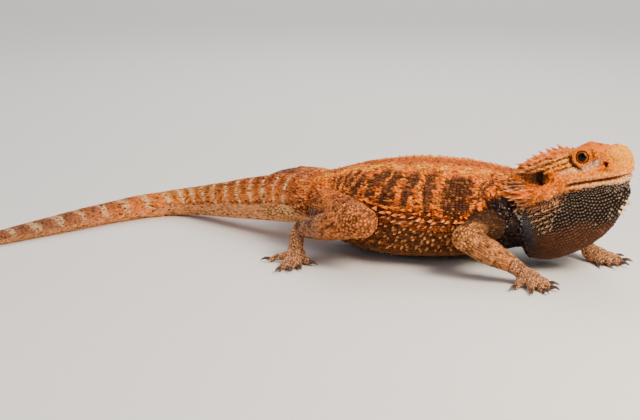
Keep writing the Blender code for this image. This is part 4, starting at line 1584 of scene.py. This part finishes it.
@dataclass
class Coat:
    """All the scales on the hide, in named pieces."""

    hide: Hide
    markings: Markings
    coarse: float = 1.0
    pieces: dict[str, list[Scales]] = field(default_factory=dict)
    rng: np.random.Generator = field(default_factory=lambda: np.random.default_rng(7))
    large: list[Array] = field(default_factory=list)  # the root and clear radius of each enlarged scale

    def noise(self, shape: int | tuple, most: float = 2.0) -> Array:
        """Normal random numbers, none of them past the most."""
        return self.rng.normal(size=shape).clip(-most, most)

    def add(self, piece: str, scales: Scales) -> None:
        """Put scales in a piece."""
        self.pieces.setdefault(piece, []).append(scales)

    def add_large(self, piece: str, scales: Scales) -> None:
        """Put enlarged scales in a piece, and keep the small ones from standing under them."""
        self.add(piece, scales)
        clear_radius = 0.42 * scales.size[:, 1]
        self.large.append(np.column_stack([scales.at.points, clear_radius]))

    def clear(self, points: Array) -> Array:
        """Which places no enlarged scale covers.

        Args:
            points: the roots of small scales.

        Returns:
            A truth value for each.
        """
        if not self.large:
            return np.ones(len(points), bool)
        rows = np.vstack(self.large)
        tree = tree_of(rows[:, :3])
        found = [tree.find(place) for place in points.tolist()]
        return np.array([f[2] > rows[f[1], 3] for f in found])

    def crest_on_skin(self, path: Array, hand: float) -> Array:
        """Where a crest's path falls on the skin of one side, by rays from the middle of the body.

        Args:
            path: the crest's path, as Crest gives it.
            hand: 1 on the left and -1 on the right.

        Returns:
            Places on the skin.
        """
        body = self.hide.body
        if path.shape[1] == 2:
            frames = [body.spine.at(run) for run in path[:, 0]]
            starts, _, left, up = (np.array(rows) for rows in zip(*frames))
            turn = (hand * path[:, 1] * math.pi)[:, None]
            ways = np.cos(turn) * up + np.sin(turn) * left
        else:
            rows = path * (1, hand, 1)
            core = np.stack([np.minimum(rows[:, 0], 38), 0 * rows[:, 1], 0.6 * rows[:, 2]], 1)
            starts, ways = body.head.world(core), (rows - core) @ body.head.axes
        where, _, good = self.hide.cast(starts, unit(ways))
        return where[good]

    def crest(self, row: Crest) -> None:
        """Set one row of enlarged scales on both sides.

        The path's corners are joined by a smooth curve, dropped on the skin, and stepped along by equal
        lengths with a little stray.

        Args:
            row: the crest.
        """
        body, ink = self.hide.body, self.markings.ink
        path = curve_through(np.array(row.path, float), 10)
        allowed = numbers_of((*TRUNK_NODES, "head", "lower_jaw", "beard"))
        for hand in HANDS.values():
            where = self.crest_on_skin(path, hand)
            length = np.concatenate([[0], np.cumsum(np.linalg.norm(np.diff(where, axis=0), axis=1))])
            at = np.arange(row.space * 0.3, length[-1], row.space * max(1.0, self.coarse * 0.7))
            at = at + self.noise(len(at)) * 0.12 * row.space
            points = read_off(at, length, where)
            points = points + self.noise(points.shape, 1.5) * 0.6 * row.vary * row.space
            where, normals, labels, good = self.hide.land(points)
            good &= np.isin(labels, allowed)
            share, where, normals, labels = (a[good] for a in (at / length[-1], where, normals, labels))
            count = len(where)
            if path.shape[1] == 2:
                run = np.interp(share, np.linspace(0, 1, len(path)), path[:, 0])
                ways = np.array([body.spine.at(r)[1] for r in run]).reshape(-1, 3)
            else:
                ways = np.tile(np.array(row.lie) * (1, hand, 1) @ body.head.axes, (count, 1))
            lie = laid_flat(ways + self.noise(ways.shape) * 0.13, normals)
            grow = np.interp(share, (0, 0.3, 0.7, 1), (row.ends[0], 1, 1, row.ends[1]))
            size = np.array(row.size) * grow[:, None] * (1 + row.vary * self.noise((count, 3)))
            shade = 1 + 0.12 * self.noise((count, 1))
            root = np.tile(ink[row.root], (count, 1))
            tip = mix(root, ink[row.tip], self.rng.uniform(0.5, 1.0, count))
            self.add_large(row.piece, Scales(row.kind, Places(body, where, labels), lie, normals, size,
                                             root * shade, tip * shade))

    def rows_round(self, line: Line, nodes: tuple, start: float, stop: float, along: Callable,
                   around: Callable, rays: int = 144, jitter: float = 0.06) -> Rows:
        """Roots in rings round a line, every second ring shifted by half a space.

        On each ring, the count so far is the arc length from the top divided by the spacing there, and
        a root stands wherever that count passes a whole number.

        Args:
            line: the centre line.
            nodes: the nodes whose skin takes these rows.
            start: the run of the first ring.
            stop: the run of the last ring.
            along: a function of the run that gives the space between rings.
            around: a function of the run and the girth that gives the space round the ring.
            rays: the rays that find each section.
            jitter: how far a root strays, over its spacing.

        Returns:
            The roots and their frames.
        """
        allowed = numbers_of(nodes)
        found, spacing, ways = [], [], []
        run, row, half = start, 0, rays // 2
        girth = np.arange(half + 1) / half
        while run < stop:
            origin, forward, left, up = line.at(run)
            where, labels, good = self.hide.scan(origin, up, left, rays)
            valid = good & np.isin(labels, allowed)
            space = np.broadcast_to(around(run, girth), girth.shape)
            for hand in (1, -1):
                index = (hand * np.arange(half + 1)) % rays
                section = where[index]
                steps = np.linalg.norm(np.diff(section, axis=0), axis=1)
                count = np.concatenate([[0], np.cumsum(steps * 2 / (space[1:] + space[:-1]))])
                first = 0.5 if row % 2 else 1.0 * (hand < 0)
                at = np.arange(first, count[-1], 1.0)
                at = at[np.interp(at, count, valid[index].astype(float)) > 0.99]
                found.append(read_off(at, count, section))
                spacing.append(np.stack([np.full(len(at), along(run)), np.interp(at, count, space)], 1))
                ways.append(np.tile(forward, (len(at), 1)))
            run += along(run)
            row += 1
        points, spacing, ways = np.vstack(found), np.vstack(spacing), np.vstack(ways)
        points = points + self.noise(points.shape, 1.2) * jitter * spacing.mean(1)[:, None]
        where, normals, labels, good = self.hide.land(points)
        good &= np.isin(labels, allowed)
        return Rows(Places(self.hide.body, where[good], labels[good]), normals[good],
                    laid_flat(ways, normals)[good], *spacing[good].T)

    def from_rows(self, kind: Kind, rows: Rows, long: float, wide: float, high: Array | float,
                  keep: Array | bool = True, fleck: float = 0.0, pale: float = 0.0,
                  follow: float = 1.0, pepper: float = 0.0, spread: float = 0.13) -> Scales:
        """Scales on rows, each as long and wide as its spacing times a factor, with small variation.

        Args:
            kind: the shape of scale.
            rows: the roots.
            long: the length over the spacing along.
            wide: the width over the spacing round.
            high: the height in millimetres, one for all or one for each.
            keep: which roots to use.
            fleck: the share of scales that stand out pale.
            pale: how much paler than the markings all of them are, from 0 to 1.
            follow: how far that paleness gives way on dark ground, from 0 to 1.
            pepper: the share of scales that stand out dark.
            spread: how much one scale's shade differs from the next.

        Returns:
            The scales, painted with the markings.
        """
        keep = keep & self.clear(rows.at.points)
        at, ink = rows.at.only(keep), self.markings.ink
        count = len(at.points)
        vary = 1 + 0.1 * self.noise((count, 3))
        height = np.broadcast_to(high, len(keep))[keep]
        size = np.stack([rows.along[keep] * long, rows.around[keep] * wide, height], 1) * vary
        root, tip = self.markings.paint(at)
        lucky = (self.rng.random(count) < fleck) * self.rng.uniform(0.3, 0.7, count)
        ground = 1 - 0.8 * follow * (1 - np.clip(root[:, 0] / ink["amber"][0], 0, 1))
        strength = self.rng.uniform(0.6, 1.4, count) * ground
        root = mix(root, ink["straw"], np.maximum(0.4 * lucky * ground, 0.4 * pale * strength))
        tip = mix(tip, ink["straw"] * 0.7 + ink["cream"] * 0.3,
                  np.maximum(0.7 * lucky * ground, pale * strength))
        dark = (self.rng.random(count) < pepper) * self.rng.uniform(0.4, 0.9, count)
        dark = dark * (root[:, 0] > ink["umber"][0])
        shade = 1 + spread * self.noise((count, 1))
        root, tip = (mix(colour, ink["umber"], dark) * shade for colour in (root, tip))
        return Scales(kind, at, rows.lie[keep], rows.normal[keep], size, root, tip)

    def trunk(self) -> None:
        """Small keeled scales in close rows, larger pale ones among them, and flat belly scales."""
        k, spine, piece = self.coarse, self.hide.body.spine, "coat_spines_trunk"
        stop = self.markings.tail_start + 4
        wide = self.rows_round(spine, TRUNK_NODES, 8.0, stop - 6, lambda run: 3.4 * k,
                               lambda run, g: 3.5 * k, jitter=0.42)
        girth = wide.at.girth
        level = girth - Markings.fringe(wide.at.run)
        back = (level < -0.055) & (girth > 0.03) & (self.rng.random(len(girth)) < 0.72)
        self.add_large(piece, self.from_rows(Kind.POINT, wide, 0.68, 0.56, 1.25, back & (girth > 0.17),
                                             pale=0.38))
        self.add_large(piece, self.from_rows(Kind.POINT, wide, 0.58, 0.48, 1.0, back & (girth <= 0.17),
                                             pale=0.26))
        flank = self.rows_round(spine, TRUNK_NODES, 47.0, 150.0, lambda run: 3.5 * k,
                                lambda run, g: 3.3 * k, jitter=0.34)
        level = flank.at.girth - Markings.fringe(flank.at.run)
        self.add_large(piece, self.from_rows(
            Kind.CONE, flank, 0.62, 0.57, 1.3, (level > 0.043) & (level < 0.185), pale=0.72, follow=0.0))
        rows = self.rows_round(
            spine, TRUNK_NODES, 4.0, stop, lambda run: 1.32 * k,
            lambda run, g: (1.25 + 0.25 * ramp(g, 0.55, 0.8)) * k, rays=160, jitter=0.15)
        belly = rows.at.girth > 0.76
        high = 0.5 + 0.1 * ramp(rows.at.girth, 0.1, 0.5)
        left = rows.at.turn > 0
        for name, side in (("coat_trunk_left", left), ("coat_trunk_right", ~left)):
            self.add(name, self.from_rows(Kind.POINT, rows, 1.55, 1.12, high, side & ~belly, fleck=0.14,
                                          pepper=0.16, spread=0.24))
            self.add(name, self.from_rows(Kind.SHIELD, rows, 1.15, 1.0, 0.22, side & belly))

    def tail(self) -> None:
        """Whorls of keeled scales, smaller towards the tip."""
        k, spine = self.coarse, self.hide.body.spine
        start, stop = self.markings.tail_start, spine.run[-1] - 2.0

        def shrink(run: float) -> float:
            """How much smaller the scales are here than at the base."""
            return 1 - 0.5 * min(1.0, max(0.0, (run - start) / (stop - start)))

        rows = self.rows_round(spine, TAIL_NODES, start - 3, stop, lambda run: 1.9 * shrink(run) * k,
                               lambda run, g: 1.45 * shrink(run) * k, rays=72)
        self.add("coat_tail", self.from_rows(Kind.LEAF, rows, 1.5, 1.12, 0.5, fleck=0.1, pepper=0.1,
                                             spread=0.2))

    def limbs(self) -> None:
        """Keeled scales in rings along the arms and legs."""
        k = self.coarse
        for limb, names in LIMB_NODES.items():
            line = self.hide.body.limbs[limb]
            piece = "coat_fore_legs" if limb.startswith("front") else "coat_hind_legs"
            rows = self.rows_round(line, names[:2], 2.0, line.run[-1] - 3, lambda run: 1.45 * k,
                                   lambda run, g: 1.35 * k, rays=56)
            self.add(piece, self.from_rows(Kind.LEAF, rows, 1.55, 1.12, 0.45, fleck=0.16, pepper=0.14,
                                           spread=0.2))

    def beard(self) -> None:
        """Diagonal rows of small pointed scales on the throat, from chin to neck."""
        k, head = self.coarse, self.hide.body.head
        path = head.world([[46, 0, -9], [34, 0, -15], [20, 0, -19], [5, 0, -21], [-12, 0, -21]])
        line = Line(curve_through(path, 12))
        finer = (42.0, 52.0)  # from here to here along the path, towards the neck, scales get smaller

        def shrink(run: float) -> float:
            """How much smaller the scales are here than on the chin."""
            return float(np.interp(run, finer, (1.0, 0.62)))

        rows = self.rows_round(line, ("beard", "lower_jaw"), 1.0, line.run[-1],
                               lambda run: 1.5 * k * shrink(run),
                               lambda run, g: 1.75 * k * shrink(run), rays=120)
        keep = rows.at.head[:, 2] < Hide.mouth_height(rows.at.head[:, 0]) - 2.9
        self.add("coat_beard", self.from_rows(Kind.PRICK, rows, 1.45, 1.02, 0.75, keep))

    def fill(self) -> None:
        """Cover what the rows leave bare: head, jaws, paws and the joins between rows.

        Scattered places are taken in their random order wherever no scale stands within the spacing of
        that region.
        """
        where, normals, labels, good = self.hide.land(self.scattered())
        at = Places(self.hide.body, where, labels)
        space = self.spacing(at) * self.coarse
        index = np.flatnonzero(good & (space > 0))
        tree = tree_of(np.vstack([s.at.points for group in self.pieces.values() for s in group]))
        apart = np.array([tree.find(place)[2] for place in where[index].tolist()])
        index = index[(apart > space[index] * 0.8) & self.clear(where[index])]
        tree = tree_of(where[index])
        free = np.ones(len(index), bool)
        won = []
        for number, place in enumerate(where[index].tolist()):
            if free[number]:
                won.append(number)
                for _, other, _ in tree.find_range(place, float(space[index[number]])):
                    free[other] = False
        index = index[np.array(won, int)]
        at = at.only(index)
        rows = Rows(at, normals[index], self.fill_lie(at, normals[index]), space[index], space[index])
        headed = at.regions <= Region.JAW.value
        pawed = at.regions >= Region.HAND.value
        self.add("coat_head", self.from_rows(Kind.SHIELD, rows, 1.5, 1.42, 0.28, headed, spread=0.08))
        fore = at.limb < 2
        for piece, own in (("coat_fore_legs", fore), ("coat_hind_legs", ~fore)):
            self.add(piece, self.from_rows(Kind.BEAD, rows, 1.32, 1.2, 0.3, pawed & own))
        self.add("coat_joins", self.from_rows(Kind.BEAD, rows, 1.3, 1.15, 0.4, ~headed & ~pawed))

    def scattered(self) -> Array:
        """Random places over the skin's triangles, even in each region and closest where scales are small.

        Returns:
            The places.
        """
        per_area = {Region.HEAD: 3.2, Region.JAW: 3.2, Region.HAND: 4.0, Region.FOOT: 4.0}
        dense = np.array([per_area.get(region, 1.2) for region in Region]) / self.coarse**2
        surface = self.hide.surface
        a, b, c = (surface.points[surface.faces[:, j]] for j in range(3))
        area = np.linalg.norm(np.cross(b - a, c - a), axis=1) / 2
        share = area * dense[self.hide.regions[surface.faces[:, 0]]]
        count = int(share.sum())
        chosen = self.rng.choice(len(area), count, p=share / share.sum())
        s, t = self.rng.random((2, count))
        flip = s + t > 1
        s[flip], t[flip] = 1 - s[flip], 1 - t[flip]
        return a[chosen] + (b - a)[chosen] * s[:, None] + (c - a)[chosen] * t[:, None]

    def spacing(self, at: Places) -> Array:
        """The space between filled-in scales at each place; 0 keeps a place bare.

        Args:
            at: places on the hide.

        Returns:
            The space in millimetres.
        """
        head = self.hide.body.head
        u, v, w = at.face
        eye, ear = (np.linalg.norm(at.points[:, None] - np.array(list(spots.values()))[None], axis=2).min(1)
                    for spots in (head.eyes, head.ears))
        nose = np.hypot(u - Hide.nostril[0], 0.85 * (w - Hide.nostril[1]))
        temple = (u < 19) & (w > 1) & (v > 5.5)
        mouth = (np.abs(w - Hide.mouth_height(u)) < 1.2) & (u > 12)
        bare = (eye < 4.75) | (ear < 3.2) | (v > 4.5) & (nose < 1.5) | mouth
        face = np.select([bare, eye < 7.2, temple], [0, 0.62, 1.0], 1.3 - 0.35 * ramp(u, 28, 42))
        space = np.where(at.within(Region.HEAD, Region.JAW), face, 1.35)
        return np.where(at.within(Region.HAND, Region.FOOT), 0.95, space)

    def fill_lie(self, at: Places, normals: Array) -> Array:
        """The way that filled-in scales lie: back along the head, and out along limbs and spine.

        Args:
            at: the roots.
            normals: the normal at each.

        Returns:
            A direction for each root.
        """
        body = self.hide.body
        ways = np.tile(-body.head.axes[0], (len(normals), 1))
        for number, line in enumerate(body.limbs.values()):
            own = at.limb == number
            ways[own] = read_off(at.run[own], line.run, line.along)
            paw = own & (at.regions >= Region.HAND.value)
            ways[paw] = at.points[paw] - line.points[-6]
        axial = at.within(Region.NECK, Region.TRUNK, Region.TAIL)
        ways[axial] = read_off(at.run[axial], body.spine.run, body.spine.along)
        return laid_flat(ways, normals)

    def build(self) -> list[bpy.types.Object]:
        """Lay all the rows and make the pieces.

        Returns:
            One object for each piece, with its colours and its map.
        """
        for row in CRESTS:
            self.crest(row)
        for lay in (self.trunk, self.tail, self.limbs, self.beard, self.fill):
            lay()
        return [self.piece(name, groups) for name, groups in self.pieces.items()]

    @staticmethod
    def piece(name: str, groups: list[Scales]) -> bpy.types.Object:
        """Join groups of scales as one object, its unwrap spread over the whole of its map.

        Args:
            name: the piece's name.
            groups: its scales.

        Returns:
            The object.
        """
        margin = 0.01
        groups = [g for g in groups if len(g.at.points)]
        charts = [g.at.chart() for g in groups]
        everything = np.vstack(charts)
        low, span = everything.min(0), np.maximum(np.ptp(everything, axis=0), 1e-6)
        parts = [g.mesh_arrays(margin + (1 - 2 * margin) * (c - low) / span)
                 for g, c in zip(groups, charts)]
        surface = Surface.joined([Surface(points, faces) for points, faces, *_ in parts])
        made = surface.to_object(name, smooth=False)
        give_colours(made, np.vstack([colours for _, _, colours, _ in parts]))
        layer = made.data.uv_layers.new(name="OFBake")
        places = np.vstack([patch for *_, patch in parts])[surface.faces.ravel()]
        layer.data.foreach_set("uv", places.astype(np.float32).ravel())
        LOG.info("%s: %d triangles", name, len(surface.faces))
        return made


def give_colours(obj: bpy.types.Object, colours: Array) -> None:
    """Store linear colours on an object's points as the attribute named pigment.

    Args:
        obj: the object.
        colours: a row for each of its points.
    """
    layer = obj.data.attributes.new("pigment", "FLOAT_COLOR", "POINT")
    rows = np.ones((len(colours), 4), np.float32)
    rows[:, :3] = np.clip(colours, 0, 1)
    layer.data.foreach_set("color", rows.ravel())


# ---------------------------------------------------------------- finishes


def add_node(tree: bpy.types.NodeTree, kind: str, links: dict | None = None, **settings) -> bpy.types.Node:
    """Add a node with its settings and links.

    Args:
        tree: the node tree.
        kind: the node's type name.
        links: input names or numbers, each with an output socket or a plain value.
        settings: properties of the node itself.

    Returns:
        The node.
    """
    node = tree.nodes.new(kind)
    for name, value in settings.items():
        setattr(node, name, value)
    for name, value in (links or {}).items():
        if isinstance(value, bpy.types.NodeSocket):
            tree.links.new(value, node.inputs[name])
        else:
            node.inputs[name].default_value = value
    return node


def new_material(name: str, **values) -> tuple[bpy.types.Material, bpy.types.NodeTree, bpy.types.Node]:
    """A material with a Principled shader whose named sockets hold the given constants.

    Args:
        name: the name of the finish.
        values: socket names with _ for a space, and their values.

    Returns:
        The material, its tree and its shader.
    """
    material = bpy.data.materials.new(name)
    material.use_nodes = True
    shader = material.node_tree.nodes["Principled BSDF"]
    for socket, value in values.items():
        shader.inputs[socket.replace("_", " ")].default_value = value
    return material, material.node_tree, shader


@dataclass(frozen=True)
class KeratinFinish:
    """Reptile scales: dry keratin over pigment, which gives a soft sheen on each scale's crown."""

    name: str
    roughness: float = 0.56
    specular: float = 0.07
    sheen: str = "#FFC48A"  # horn over pigment reflects warm
    mottle_mm: float = 1.1  # patches of stronger pigment
    grain_mm: float = 0.22  # the fine relief of a scale's surface
    depth_mm: float = 0.05

    def make(self) -> bpy.types.Material:
        """The material: pigment from the mesh, mottled by noise, with fine relief.

        Returns:
            The finish.
        """
        material, tree, shader = new_material(
            self.name, Specular_IOR_Level=self.specular, Specular_Tint=(*linear(self.sheen), 1))
        place = add_node(tree, "ShaderNodeTexCoord")
        pigment = add_node(tree, "ShaderNodeAttribute", attribute_name="pigment")
        mottle = add_node(tree, "ShaderNodeTexNoise", {
            "Vector": place.outputs["Object"], "Scale": 1 / (self.mottle_mm * MM), "Detail": 3.0})
        shade = add_node(tree, "ShaderNodeMapRange", {
            0: mottle.outputs[0], 1: 0.3, 2: 0.7, 3: 0.78, 4: 1.2})
        colour = add_node(tree, "ShaderNodeVectorMath", {
            0: pigment.outputs["Color"], "Scale": shade.outputs[0]}, operation="SCALE")
        tree.links.new(colour.outputs[0], shader.inputs["Base Color"])
        rough = add_node(tree, "ShaderNodeMapRange", {
            0: mottle.outputs[0], 1: 0.3, 2: 0.7, 3: self.roughness - 0.08, 4: self.roughness + 0.12})
        tree.links.new(rough.outputs[0], shader.inputs["Roughness"])
        grain = add_node(tree, "ShaderNodeTexNoise", {
            "Vector": place.outputs["Object"], "Scale": 1 / (self.grain_mm * MM), "Detail": 2.0})
        relief = add_node(tree, "ShaderNodeBump", {
            "Height": grain.outputs[0], "Strength": 0.35, "Distance": self.depth_mm * MM})
        tree.links.new(relief.outputs[0], shader.inputs["Normal"])
        return material


@dataclass(frozen=True)
class EyeFinish:
    """A wet eye: a brown iris of fine fibres under a clear, very glossy cornea."""

    name: str = "wet_eye_cornea_over_brown_iris"
    pupil: str = "#050404"
    ring: str = "#1C0A04"
    iris: str = "#6A2E0C"
    gold: str = "#9A5016"
    white: str = "#241108"

    def make(self) -> bpy.types.Material:
        """The material: rings by the distance from the gaze axis, in mm, broken up by noise.

        Returns:
            The finish.
        """
        material, tree, shader = new_material(
            self.name, Roughness=0.4, Specular_IOR_Level=0.0, Coat_Weight=0.4, Coat_Roughness=0.03,
            Coat_IOR=1.376)
        place = add_node(tree, "ShaderNodeTexCoord")
        off = add_node(tree, "ShaderNodeAttribute", attribute_name="off_axis_mm")
        fibre = add_node(tree, "ShaderNodeTexNoise", {
            "Vector": place.outputs["Object"], "Scale": 1 / (0.5 * MM), "Detail": 3.0})
        shift = add_node(tree, "ShaderNodeMath", {
            0: fibre.outputs[0], 1: 0.5, 2: off.outputs["Fac"]}, operation="MULTIPLY_ADD")
        level = add_node(tree, "ShaderNodeMapRange", {0: shift.outputs[0], 1: 0.0, 2: 5.0})
        ramps = add_node(tree, "ShaderNodeValToRGB", {0: level.outputs[0]})
        stops = ((0.0, self.pupil), (0.43, self.pupil), (0.47, self.ring), (0.53, self.iris),
                 (0.6, self.gold), (0.7, self.iris), (0.82, self.white))
        while len(ramps.color_ramp.elements) < len(stops):
            ramps.color_ramp.elements.new(0.5)
        for element, (where, code) in zip(ramps.color_ramp.elements, stops):
            element.position = where
            element.color = (*linear(code), 1)
        tree.links.new(ramps.outputs[0], shader.inputs["Base Color"])
        return material


@dataclass(frozen=True)
class TwoToneFinish:
    """A surface whose colour drifts between two near tones, as horn, membrane and paper do."""

    name: str
    dark: str
    pale: str
    patch_mm: float
    roughness: float
    detail: float = 2.0
    specular: float = 0.5
    ior: float = 1.5

    def make(self) -> bpy.types.Material:
        """The material: a noise that mixes the two tones.

        Returns:
            The finish.
        """
        material, tree, shader = new_material(
            self.name, Roughness=self.roughness, Specular_IOR_Level=self.specular, IOR=self.ior)
        place = add_node(tree, "ShaderNodeTexCoord")
        cloud = add_node(tree, "ShaderNodeTexNoise", {
            "Vector": place.outputs["Object"], "Scale": 1 / (self.patch_mm * MM), "Detail": self.detail})
        colour = add_node(tree, "ShaderNodeMix", {
            0: cloud.outputs[0], 6: (*linear(self.dark), 1), 7: (*linear(self.pale), 1)}, data_type="RGBA")
        tree.links.new(colour.outputs[2], shader.inputs["Base Color"])
        return material


SCALES = KeratinFinish("dry_keratin_scales")
SKIN = KeratinFinish("soft_skin_between_scales", roughness=0.62)  # thinner horn, so it shines less
# claw horn is polished by wear: a soft gloss on fine dark streaks
CLAW_HORN = TwoToneFinish("dark_claw_horn", "#1C110B", "#5E4433", 0.35, 0.34, detail=4.0, ior=1.54)
# an eardrum is thin and smooth over a dark cavity; its dark tones are partly painted shade of the ear's
# recess
EAR_MEMBRANE = TwoToneFinish("smooth_ear_membrane", "#120705", "#2E130C", 2.0, 0.6, specular=0.1)
# uncoated paper scatters all light evenly and shows no gloss
PAPER = TwoToneFinish("pale_matt_paper", "#EFEDE9", "#F3F1ED", 1000 / 3, 0.9)


# ---------------------------------------------------------------- eyes and claws


@dataclass
class Eye:
    """One eyeball: a sphere with a slight corneal bulge round the gaze axis."""

    side: str
    body: Body
    radius: float = 4.6
    bulge: float = 0.35

    def build(self) -> None:
        """Make the eyeball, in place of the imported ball.

        A point at polar angle t and turn a lies at (radius + bulge e^-(t/0.5)^2) times
        (cos t gaze + sin t (cos a across + sin a up)) from the centre.
        """
        head = self.body.head
        centre = head.eyes[self.side]
        gaze, up = head.gaze(self.side)
        across = np.cross(up, gaze)
        rings, sides = 40, 64
        t = np.linspace(0, math.pi, rings + 1)[1:-1]
        a = np.arange(sides) * math.tau / sides
        reach = self.radius + self.bulge * np.exp(-((t / 0.5) ** 2))
        round_axis = np.cos(a)[None, :, None] * across + np.sin(a)[None, :, None] * up
        grid = np.cos(t)[:, None, None] * gaze + np.sin(t)[:, None, None] * round_axis
        grid = centre + grid * reach[:, None, None]
        ends = centre + np.array([gaze * (self.radius + self.bulge), -gaze * self.radius])
        faces = np.vstack([grid_faces(len(t), sides), end_faces(len(t), sides)])
        surface = Surface.facing_out(np.vstack([grid.reshape(-1, 3), ends]), faces)
        ball = surface.to_object(f"eyeball_{self.side}")
        off = np.concatenate([np.repeat(self.radius * np.minimum(t, 2.0), sides), [0.0, 9.0]])
        layer = ball.data.attributes.new("off_axis_mm", "FLOAT", "POINT")
        layer.data.foreach_set("value", off.astype(np.float32))
        ball.data.materials.append(EyeFinish().make())
        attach(ball, "root")
        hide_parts(f"eye_{self.side}")


@dataclass
class Claws:
    """The twenty claws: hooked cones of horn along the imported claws' own axes."""

    body: Body
    sides: int = 10
    depth: float = 1.15  # the height of a claw's section over its width
    arch: float = 0.75  # how far the middle rises over the straight line from root to tip
    root_depth: float = 1.2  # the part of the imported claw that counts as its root
    thick: float = 1.0
    point: float = 0.12  # the radius left at the tip
    clearance: float = 0.05  # over the floor

    def build(self) -> None:
        """Make one claw for each packed claw; its radius is point + thick (1 - s)^0.8, s running to 1."""
        horn = CLAW_HORN.make()
        for limb, names in LIMB_NODES.items():
            heel = self.body.nodes[names[2]].centroid()
            for number in range(1, 6):
                name = f"claw_{limb}_{number}"
                points = Surface.of_node(name).points
                away = np.linalg.norm(points[:, :2] - heel[:2], axis=1)
                root, tip = points[away < away.min() + self.root_depth].mean(0), points[away.argmax()]
                middle = (root + tip) / 2 + np.array([0, 0, self.arch])
                path = curve_through(np.array([root, middle, tip]), 5)
                radii = self.thick * (1 - np.linspace(0, 1, len(path))) ** 0.8 + self.point
                path[:, 2] = np.maximum(path[:, 2], radii * self.depth + self.clearance)
                piece = tube_along(path, radii, self.sides, self.depth).to_object(f"horn_{name}")
                piece.data.materials.append(horn)
                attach(piece, "root")
                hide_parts(name)
                LOG.info("claw: %s", name)


# ---------------------------------------------------------------- studio


@dataclass
class Studio:
    """A pale floor, soft lights and the camera."""

    LIGHTS = (  # name, place, aim and side of a square soft light in mm, its watts and its tint
        ("sky", (-100, 1000, 2700), (-50, 1000, 0), 4600, 66.0, "#F4F6FF"),
        ("wash", (-350, 1550, 1100), (-350, 1500, 0), 1500, 8.5, "#FFFBF4"),
        ("key", (520, -300, 620), (30, 0, 30), 330, 9.2, "#FFEED8"),
        ("face", (300, -190, 235), (105, -10, 55), 160, 0.42, "#FFEAD0"),
        ("fill", (-520, -620, 330), (-40, 0, 30), 700, 1.8, "#E9F0FF"),
        ("rim", (-160, 560, 520), (-20, 0, 30), 500, 2.0, "#FFF6EA"),
    )
    FLOOR_REACH = 4000.0

    azimuth: float = 18.0
    elevation: float = 15.0
    lens: float = 80.0
    distance: float = 810.7
    target: tuple[float, float, float] = (-47.9, -9.4, 22.0)

    def build(self) -> None:
        """Set the floor, lights, world and camera."""
        self.floor()
        for name, place, aim, side, power, tint in self.LIGHTS:
            lamp = bpy.data.lights.new(name, "AREA")
            lamp.size, lamp.energy, lamp.color = side * MM, power, linear(tint)
            made = bpy.data.objects.new(name, lamp)
            made.location = Vector(place) * MM
            made.rotation_mode = "QUATERNION"
            made.rotation_quaternion = (Vector(place) - Vector(aim)).to_track_quat("Z", "Y")
            bpy.context.scene.collection.objects.link(made)
        world = bpy.data.worlds.new("studio")
        world.use_nodes = True
        background = world.node_tree.nodes["Background"].inputs
        background["Color"].default_value = (*linear("#D9DDE2"), 1)
        background["Strength"].default_value = 0.18
        bpy.context.scene.world = world
        self.camera()

    def floor(self) -> None:
        """A wide sheet of pale matt paper at z = 0."""
        corners = self.FLOOR_REACH * np.array([[-1, -1, 0], [1, -1, 0], [1, 1, 0], [-1, 1, 0]])
        sheet = Surface(corners, np.array([[0, 1, 2, 3]])).to_object("floor")
        sheet.data.materials.append(PAPER.make())

    def camera(self) -> None:
        """The camera, at its azimuth and elevation round the target."""
        a, e = math.radians(self.azimuth), math.radians(self.elevation)
        back = Vector((math.sin(a) * math.cos(e), -math.cos(a) * math.cos(e), math.sin(e)))
        data = bpy.data.cameras.new("camera")
        data.lens, data.sensor_width, data.clip_start = self.lens, 36.0, 0.01
        camera = bpy.data.objects.new("camera", data)
        camera.location = (Vector(self.target) + back * self.distance) * MM
        camera.rotation_mode = "QUATERNION"
        camera.rotation_quaternion = back.to_track_quat("Z", "Y")
        bpy.context.scene.collection.objects.link(camera)
        bpy.context.scene.camera = camera


# ---------------------------------------------------------------- the whole animal


def dress(skin: bpy.types.Object, hide: Hide, markings: Markings) -> None:
    """Colour the skin with the markings, darker between the scales, and let it stand for the flesh.

    Args:
        skin: the skin.
        hide: what it was made from.
        markings: what colours it.
    """
    at = Places(hide.body, hide.surface.points, hide.labels)
    root, _ = markings.paint(at)
    gap = np.where(at.within(Region.HEAD, Region.JAW), 0.72, 0.5)
    give_colours(skin, root * gap[:, None])
    skin.data.materials.clear()
    skin.data.materials.append(SKIN.make())
    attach(skin, "root")
    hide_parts(*FLESH)


def main() -> None:
    """Build every piece in order."""
    logging.basicConfig(level=logging.INFO, format="%(name)s: %(message)s")
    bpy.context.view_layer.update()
    body = Body()
    hide = Hide(body)
    skin = hide.build()
    LOG.info("hide: %d triangles", len(hide.surface.faces))
    markings = Markings(body, Pigments())
    dress(skin, hide, markings)
    scale = SCALES.make()
    for piece in Coat(hide, markings).build():
        piece.data.materials.append(scale)
        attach(piece, "root")
    for side in HANDS:
        Eye(side, body).build()
        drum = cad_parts[f"eardrum_{side}"]
        drum.data.materials.clear()
        drum.data.materials.append(EAR_MEMBRANE.make())
        LOG.info("eye and ear: %s", side)
    Claws(body).build()
    Studio().build()


if __name__ == "__main__":
    main()
